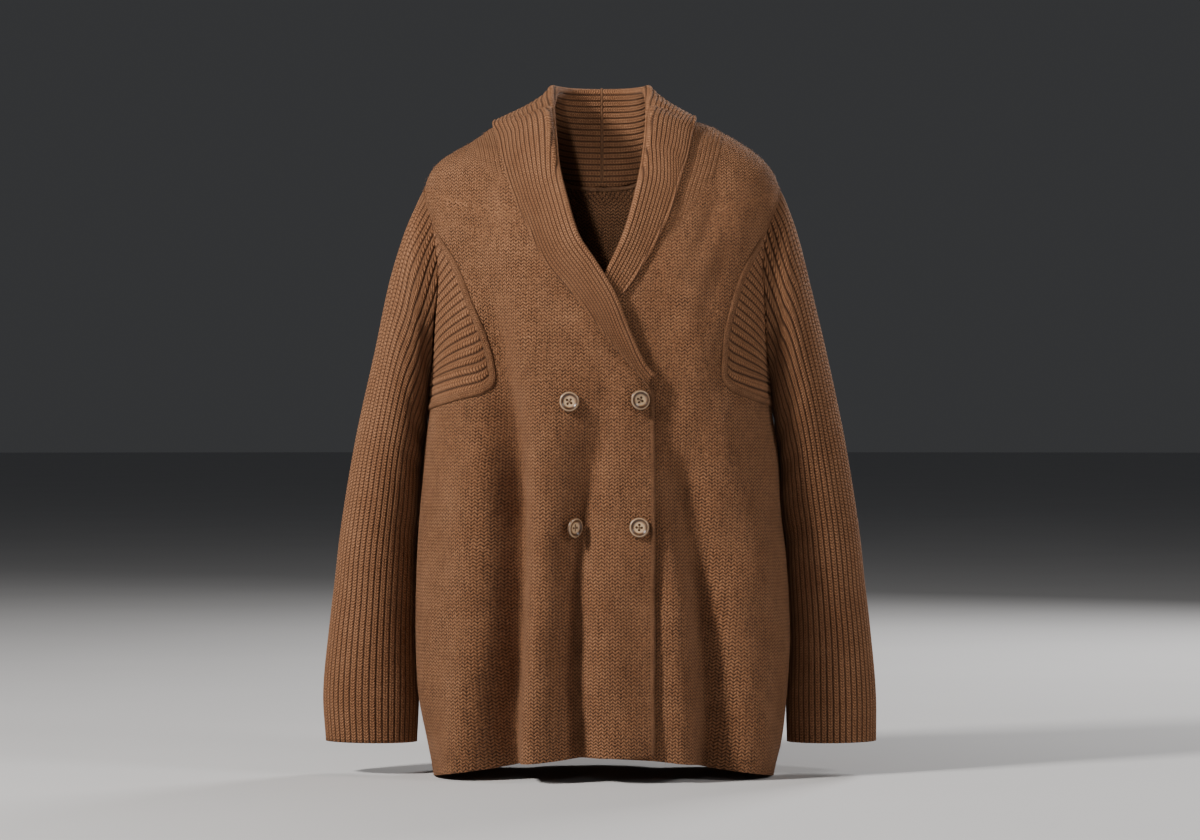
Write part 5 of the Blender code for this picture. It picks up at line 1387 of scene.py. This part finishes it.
def button_mesh():
    """A turned button with a raised rim, a dished face and four holes."""
    shape = bmesh.new()
    turns = np.arange(BUTTON_SIDES) / BUTTON_SIDES * math.tau
    rings = []
    for out, high in np.array(BUTTON_PROFILE):
        radius, rise = out * BUTTON_RADIUS, high * BUTTON_THICK
        if out == 0:
            rings.append([shape.verts.new((0, 0, rise))])
            continue
        ring = [(radius * math.cos(t), radius * math.sin(t), rise) for t in turns]
        rings.append([shape.verts.new(corner) for corner in ring])
    for low, high in zip(rings, rings[1:]):
        for k in range(BUTTON_SIDES):
            m = (k + 1) % BUTTON_SIDES
            if len(low) == 1:
                shape.faces.new((low[0], high[k], high[m]))
            elif len(high) == 1:
                shape.faces.new((low[m], low[k], high[0]))
            else:
                shape.faces.new((low[k], high[k], high[m], low[m]))
    bmesh.ops.recalc_face_normals(shape, faces=shape.faces)
    mesh = bpy.data.meshes.new("button_turned")
    shape.to_mesh(mesh)
    shape.free()
    holes = bmesh.new()
    for k in range(4):
        turn = math.radians(45 + 90 * k)
        made = bmesh.ops.create_cone(holes, cap_ends=True, segments=20, radius1=BUTTON_HOLE,
                                     radius2=BUTTON_HOLE, depth=3 * BUTTON_THICK)
        away = Vector((math.cos(turn), math.sin(turn), 0.0)) * BUTTON_HOLE_OUT
        bmesh.ops.translate(holes, verts=made["verts"], vec=away)
    drill_mesh = bpy.data.meshes.new("button_drill")
    holes.to_mesh(drill_mesh)
    holes.free()
    turned = bpy.data.objects.new("button_turned", mesh)
    drill = bpy.data.objects.new("button_drill", drill_mesh)
    for piece in (turned, drill):
        bpy.context.scene.collection.objects.link(piece)
    cut = turned.modifiers.new("holes", "BOOLEAN")
    cut.object = drill
    cut.operation = "DIFFERENCE"
    soft = turned.modifiers.new("soft", "BEVEL")
    soft.width = 0.12 * MM
    soft.segments = 2
    soft.limit_method = "ANGLE"
    soft.angle_limit = math.radians(50)
    done = bpy.data.meshes.new_from_object(turned.evaluated_get(bpy.context.evaluated_depsgraph_get()))
    bpy.data.objects.remove(turned)
    bpy.data.objects.remove(drill)
    points = np.array([v.co for v in done.vertices])
    corners = np.zeros(len(done.loops), int)
    done.loops.foreach_get("vertex_index", corners)
    radius = np.hypot(points[:, 0], points[:, 1]) / BUTTON_RADIUS
    spin = np.arctan2(points[:, 1], points[:, 0]) / math.pi * 0.4
    layer = done.uv_layers.new(name="knitting")
    layer.data.foreach_set("uv", np.stack((radius, np.abs(spin)), -1)[corners].ravel())
    done.shade_smooth()
    return done


def thread_mesh():
    """Two crossed stitches of thread over the middle of a button, down through its holes."""
    points, faces = [], []
    for number, (a, b) in enumerate(((45, 225), (135, 315))):
        ways = [Vector((math.cos(math.radians(t)), math.sin(math.radians(t)), 0)) for t in (a, b)]
        ends = [way * BUTTON_HOLE_OUT for way in ways]
        for strand in (-0.2, 0.2):
            side = (ends[1] - ends[0]).normalized().cross(Vector((0, 0, 1))) * strand * MM
            line = []
            for share in np.linspace(0, 1, 17):
                rise = 0.62 * BUTTON_THICK + (0.35 + 0.3 * number) * MM * math.sin(math.pi * share) ** 0.6
                rise -= 1.6 * MM * max(0.0, abs(share - 0.5) * 2 - 0.86) / 0.14
                line.append(np.array(ends[0].lerp(ends[1], share) + side) + (0, 0, rise))
            line = np.array(line)
            along = np.gradient(line, axis=0)
            along /= np.linalg.norm(along, axis=1, keepdims=True)
            over = np.cross(along, np.array(side.normalized()))
            other = np.cross(along, over)
            turns = np.arange(8) / 8 * math.tau
            out_over = np.cos(turns)[None, :, None] * over[:, None]
            out_other = np.sin(turns)[None, :, None] * other[:, None]
            ring = line[:, None] + THREAD_RADIUS * (out_over + out_other)
            quads, _ = grid_faces(len(line), 8, sum(len(p) for p in points), closed=True)
            points.append(ring.reshape(-1, 3))
            faces += quads.tolist()
    mesh = bpy.data.meshes.new("button_thread")
    mesh.from_pydata(np.concatenate(points).tolist(), [], faces)
    mesh.shade_smooth()
    return mesh


button_shape = button_mesh()
thread_shape = thread_mesh()
for number, (x, height, spin, lean) in enumerate(BUTTONS, 1):
    seat = []
    for turn in range(0, 360, 30):
        across = BUTTON_SEAT * math.cos(math.radians(turn))
        up = BUTTON_SEAT * math.sin(math.radians(turn))
        seat.append(on_skin(x * MM + across, height * MM + up))
    normal = unit(np.cross(seat[0] - seat[6], seat[3] - seat[9]))
    base = skin(angle_of_x(x * MM, height * MM), height * MM)
    crown = max(np.dot(place - base, normal) for place in seat + [base])
    rise = BUTTON_RADIUS * math.sin(math.radians(lean))
    place = base + normal * (crown + 0.5 * BODY_WALL + BUTTON_CLEAR + rise)
    pose = Matrix.Translation(place) @ Matrix.Rotation(math.radians(lean), 4, "Z")
    pose = pose @ Vector(normal).to_track_quat("Z", "Y").to_matrix().to_4x4()
    pose = pose @ Matrix.Rotation(math.radians(spin), 4, "Z")
    for label, mesh, surface in (("horn", button_shape, horn), ("thread", thread_shape, sewing)):
        piece = bpy.data.objects.new(f"button_{number}_{label}", mesh.copy())
        bpy.context.scene.collection.objects.link(piece)
        piece.matrix_world = pose
        finish_piece(piece, surface, "horn" if label == "horn" else "brushed_jersey",
                     *((f"button_{number}",) if label == "horn" else ()))

# ---------------------------------------------------------------- nap
# The jersey is brushed, so that fine loose fibres stand up from it. They lie down the cloth, a little
# aslant, and are a shade lighter than the yarn.

fibre, tree, shader = new_material("nap_fibre")
each = add_node(tree, "ShaderNodeNewGeometry").outputs["Random Per Island"]
tree.links.new(blend_colour(tree, each, YARN, YARN_LIGHT), shader.inputs["Base Color"])
tree.links.new(ranged(tree, each, 0.0, 1.0, 0.7, 0.9), shader.inputs["Roughness"])
shader.inputs["Specular IOR Level"].default_value = SPECULAR

NAP_CLEAR = 3 * MM        # from the collar's edge
NAP_BELOW_COLLAR = -285 * MM
NAP_BACK_TOP = -70 * MM
NAP_LIFT = 0.05 * MM


def clear_of_collar(name, root):
    """Which roots lie on open cloth, and not under the collar."""
    if name == "back_nap":
        return NAP_BACK_TOP - root[:, 2] > NAP_CLEAR
    left = name == "front_left_nap"
    rows = np.array((COLLAR_LEFT if left else COLLAR_RIGHT)[COLLAR_SIDE + 1:])[::-1]
    edge = np.interp(root[:, 2] / MM, rows[:, 6].astype(float), rows[:, 5].astype(float)) * MM
    return (edge - root[:, 0] if left else root[:, 0] - edge) > NAP_CLEAR


def add_nap(name, grids, count, seed, outward):
    """Many thin fibres on the outside of a panel, as one mesh."""
    chance = np.random.default_rng(seed)
    cells = sum(grid.shape[0] * grid.shape[1] for grid, _ in grids)
    roots, ways, downs = [], [], []
    for grid, _ in grids:
        share = count * grid.shape[0] * grid.shape[1] / cells
        normal = grid_normals(grid) * outward
        down = -np.gradient(grid, axis=0)
        down /= np.maximum(np.linalg.norm(down, axis=2, keepdims=True), 1e-9)
        r = chance.uniform(0.5, grid.shape[0] - 1.5, int(share))
        c = chance.uniform(0.5, grid.shape[1] - 1.5, int(share))
        i, j = r.astype(int), c.astype(int)
        s, t = (r - i)[:, None], (c - j)[:, None]
        roots.append((grid[i, j] * (1 - s) + grid[i + 1, j] * s) * (1 - t)
                     + (grid[i, j + 1] * (1 - s) + grid[i + 1, j + 1] * s) * t)
        ways.append(normal[i, j])
        downs.append(down[i, j])
    root, way, down = np.concatenate(roots), np.concatenate(ways), np.concatenate(downs)
    kept = clear_of_collar(name, root) | (root[:, 2] < NAP_BELOW_COLLAR)
    root, way, down = root[kept], way[kept], down[kept]
    number = len(root)
    across = np.cross(way, down)
    swing = np.radians(chance.normal(12, 34, number))[:, None]
    lie = down * np.cos(swing) + across * np.sin(swing)
    lift = np.radians(np.abs(chance.normal(8, 16, number)))[:, None]
    length = chance.uniform(2.6, 6.2, number)[:, None] * MM
    wide = np.cross(lie, way) * chance.uniform(0.06, 0.14, number)[:, None] * MM
    root = root + way * (0.5 * BODY_WALL + NAP_LIFT)
    middle = root + (lie * np.cos(lift) + way * np.sin(lift)) * length * 0.55
    tip = middle + (lie * np.cos(0.4 * lift) + way * np.sin(0.4 * lift)) * length * 0.45
    corners = (root - wide, root + wide, middle + 0.8 * wide, middle - 0.8 * wide, tip)
    points = np.stack(corners, 1).reshape(-1, 3)
    first = np.arange(number)[:, None] * 5
    faces = (first + np.array((0, 1, 2, 3))).tolist() + (first + np.array((3, 2, 4))).tolist()
    made = add_mesh(name, points, faces)
    finish_piece(made, fibre, "brushed_jersey")


nap_count = 15000
for name, grids, count, seed in (("front_left", left_grids, nap_count, 11),
                                 ("front_right", right_grids, nap_count, 12),
                                 ("back", halves, 2 * nap_count, 13)):
    grid = grids[0][0]
    middle_row, middle_column = grid.shape[0] // 2, grid.shape[1] // 2
    facing = grid_normals(grid)[middle_row, middle_column, 1] * (1 if name == "back" else -1)
    add_nap(f"{name}_nap", grids, count, seed, np.sign(facing))


# ---------------------------------------------------------------- floor, light and camera
# The coat hangs just above a pale floor. One soft light on the left, one on the right, a weak one in front,
# one behind, and a narrow one that reaches into the neck.

FLOOR_RADIUS = 40
floor_mesh = bpy.data.meshes.new("floor")
shape = bmesh.new()
bmesh.ops.create_circle(shape, cap_ends=True, segments=96, radius=FLOOR_RADIUS)
shape.to_mesh(floor_mesh)
shape.free()
floor = bpy.data.objects.new("floor", floor_mesh)
floor.location.z = cad_box[0].z - 0.5 * MM
bpy.context.scene.collection.objects.link(floor)
pale, tree, shader = new_material("pale_floor")
cloudy = noise(tree, add_node(tree, "ShaderNodeTexCoord").outputs["Object"], 2.0, 3.0).outputs["Fac"]
tone = blend_colour(tree, cloudy, (0.60, 0.60, 0.61, 1.0), (0.66, 0.66, 0.67, 1.0))
tree.links.new(tone, shader.inputs["Base Color"])
shader.inputs["Roughness"].default_value = 0.8
floor.data.materials.append(pale)

world = bpy.data.worlds.new("studio")
bpy.context.scene.world = world
world.use_nodes = True
background = world.node_tree.nodes["Background"]
background.inputs["Color"].default_value = (0.80, 0.82, 0.86, 1.0)
background.inputs["Strength"].default_value = 0.05


def aimed(place, aim):
    """The turn of a light at a place that faces a point."""
    return (Vector(aim) - Vector(place)).to_track_quat("-Z", "Y").to_euler()


def add_light(name, place, aim, size, power, colour):
    """A soft flat light that faces a point."""
    lamp = bpy.data.lights.new(name, "AREA")
    lamp.shape = "RECTANGLE"
    lamp.size, lamp.size_y = size
    lamp.energy = power
    lamp.color = colour
    made = bpy.data.objects.new(name, lamp)
    made.location = place
    made.rotation_euler = aimed(place, aim)
    bpy.context.scene.collection.objects.link(made)


add_light("key", (-2.3, -1.6, 1.6), (0, 0, -0.28), (0.5, 0.5), 155, (1.0, 0.96, 0.91))
add_light("right", (2.6, -1.5, 1.1), (0, 0, -0.3), (0.6, 0.8), 34, (1.0, 0.97, 0.94))
add_light("front", (-0.35, -3.6, 0.9), (0, 0, -0.25), (0.8, 0.8), 5, (1.0, 0.98, 0.96))
add_light("rim", (1.6, 2.5, 1.2), (0, 0, -0.3), (1.0, 1.0), 70, (1.0, 0.98, 0.96))

inside = bpy.data.lights.new("neck", "SPOT")
inside.energy = 420
inside.spot_size = math.radians(4.4)
inside.spot_blend = 1.0
inside.shadow_soft_size = 0.12
inside_lamp = bpy.data.objects.new("neck", inside)
inside_lamp.location = (-0.55, -3.6, 0.32)
inside_lamp.rotation_euler = aimed(inside_lamp.location, (0.02, 0.06, -0.06))
bpy.context.scene.collection.objects.link(inside_lamp)

camera = bpy.data.cameras.new("camera")
camera.sensor_width = 36
camera.lens = 113.2
camera_object = bpy.data.objects.new("camera", camera)
camera_object.location = (-0.00212, -4.0, -0.3127)
camera_object.rotation_euler = (math.radians(90), 0, 0)
bpy.context.scene.collection.objects.link(camera_object)
bpy.context.scene.camera = camera_object
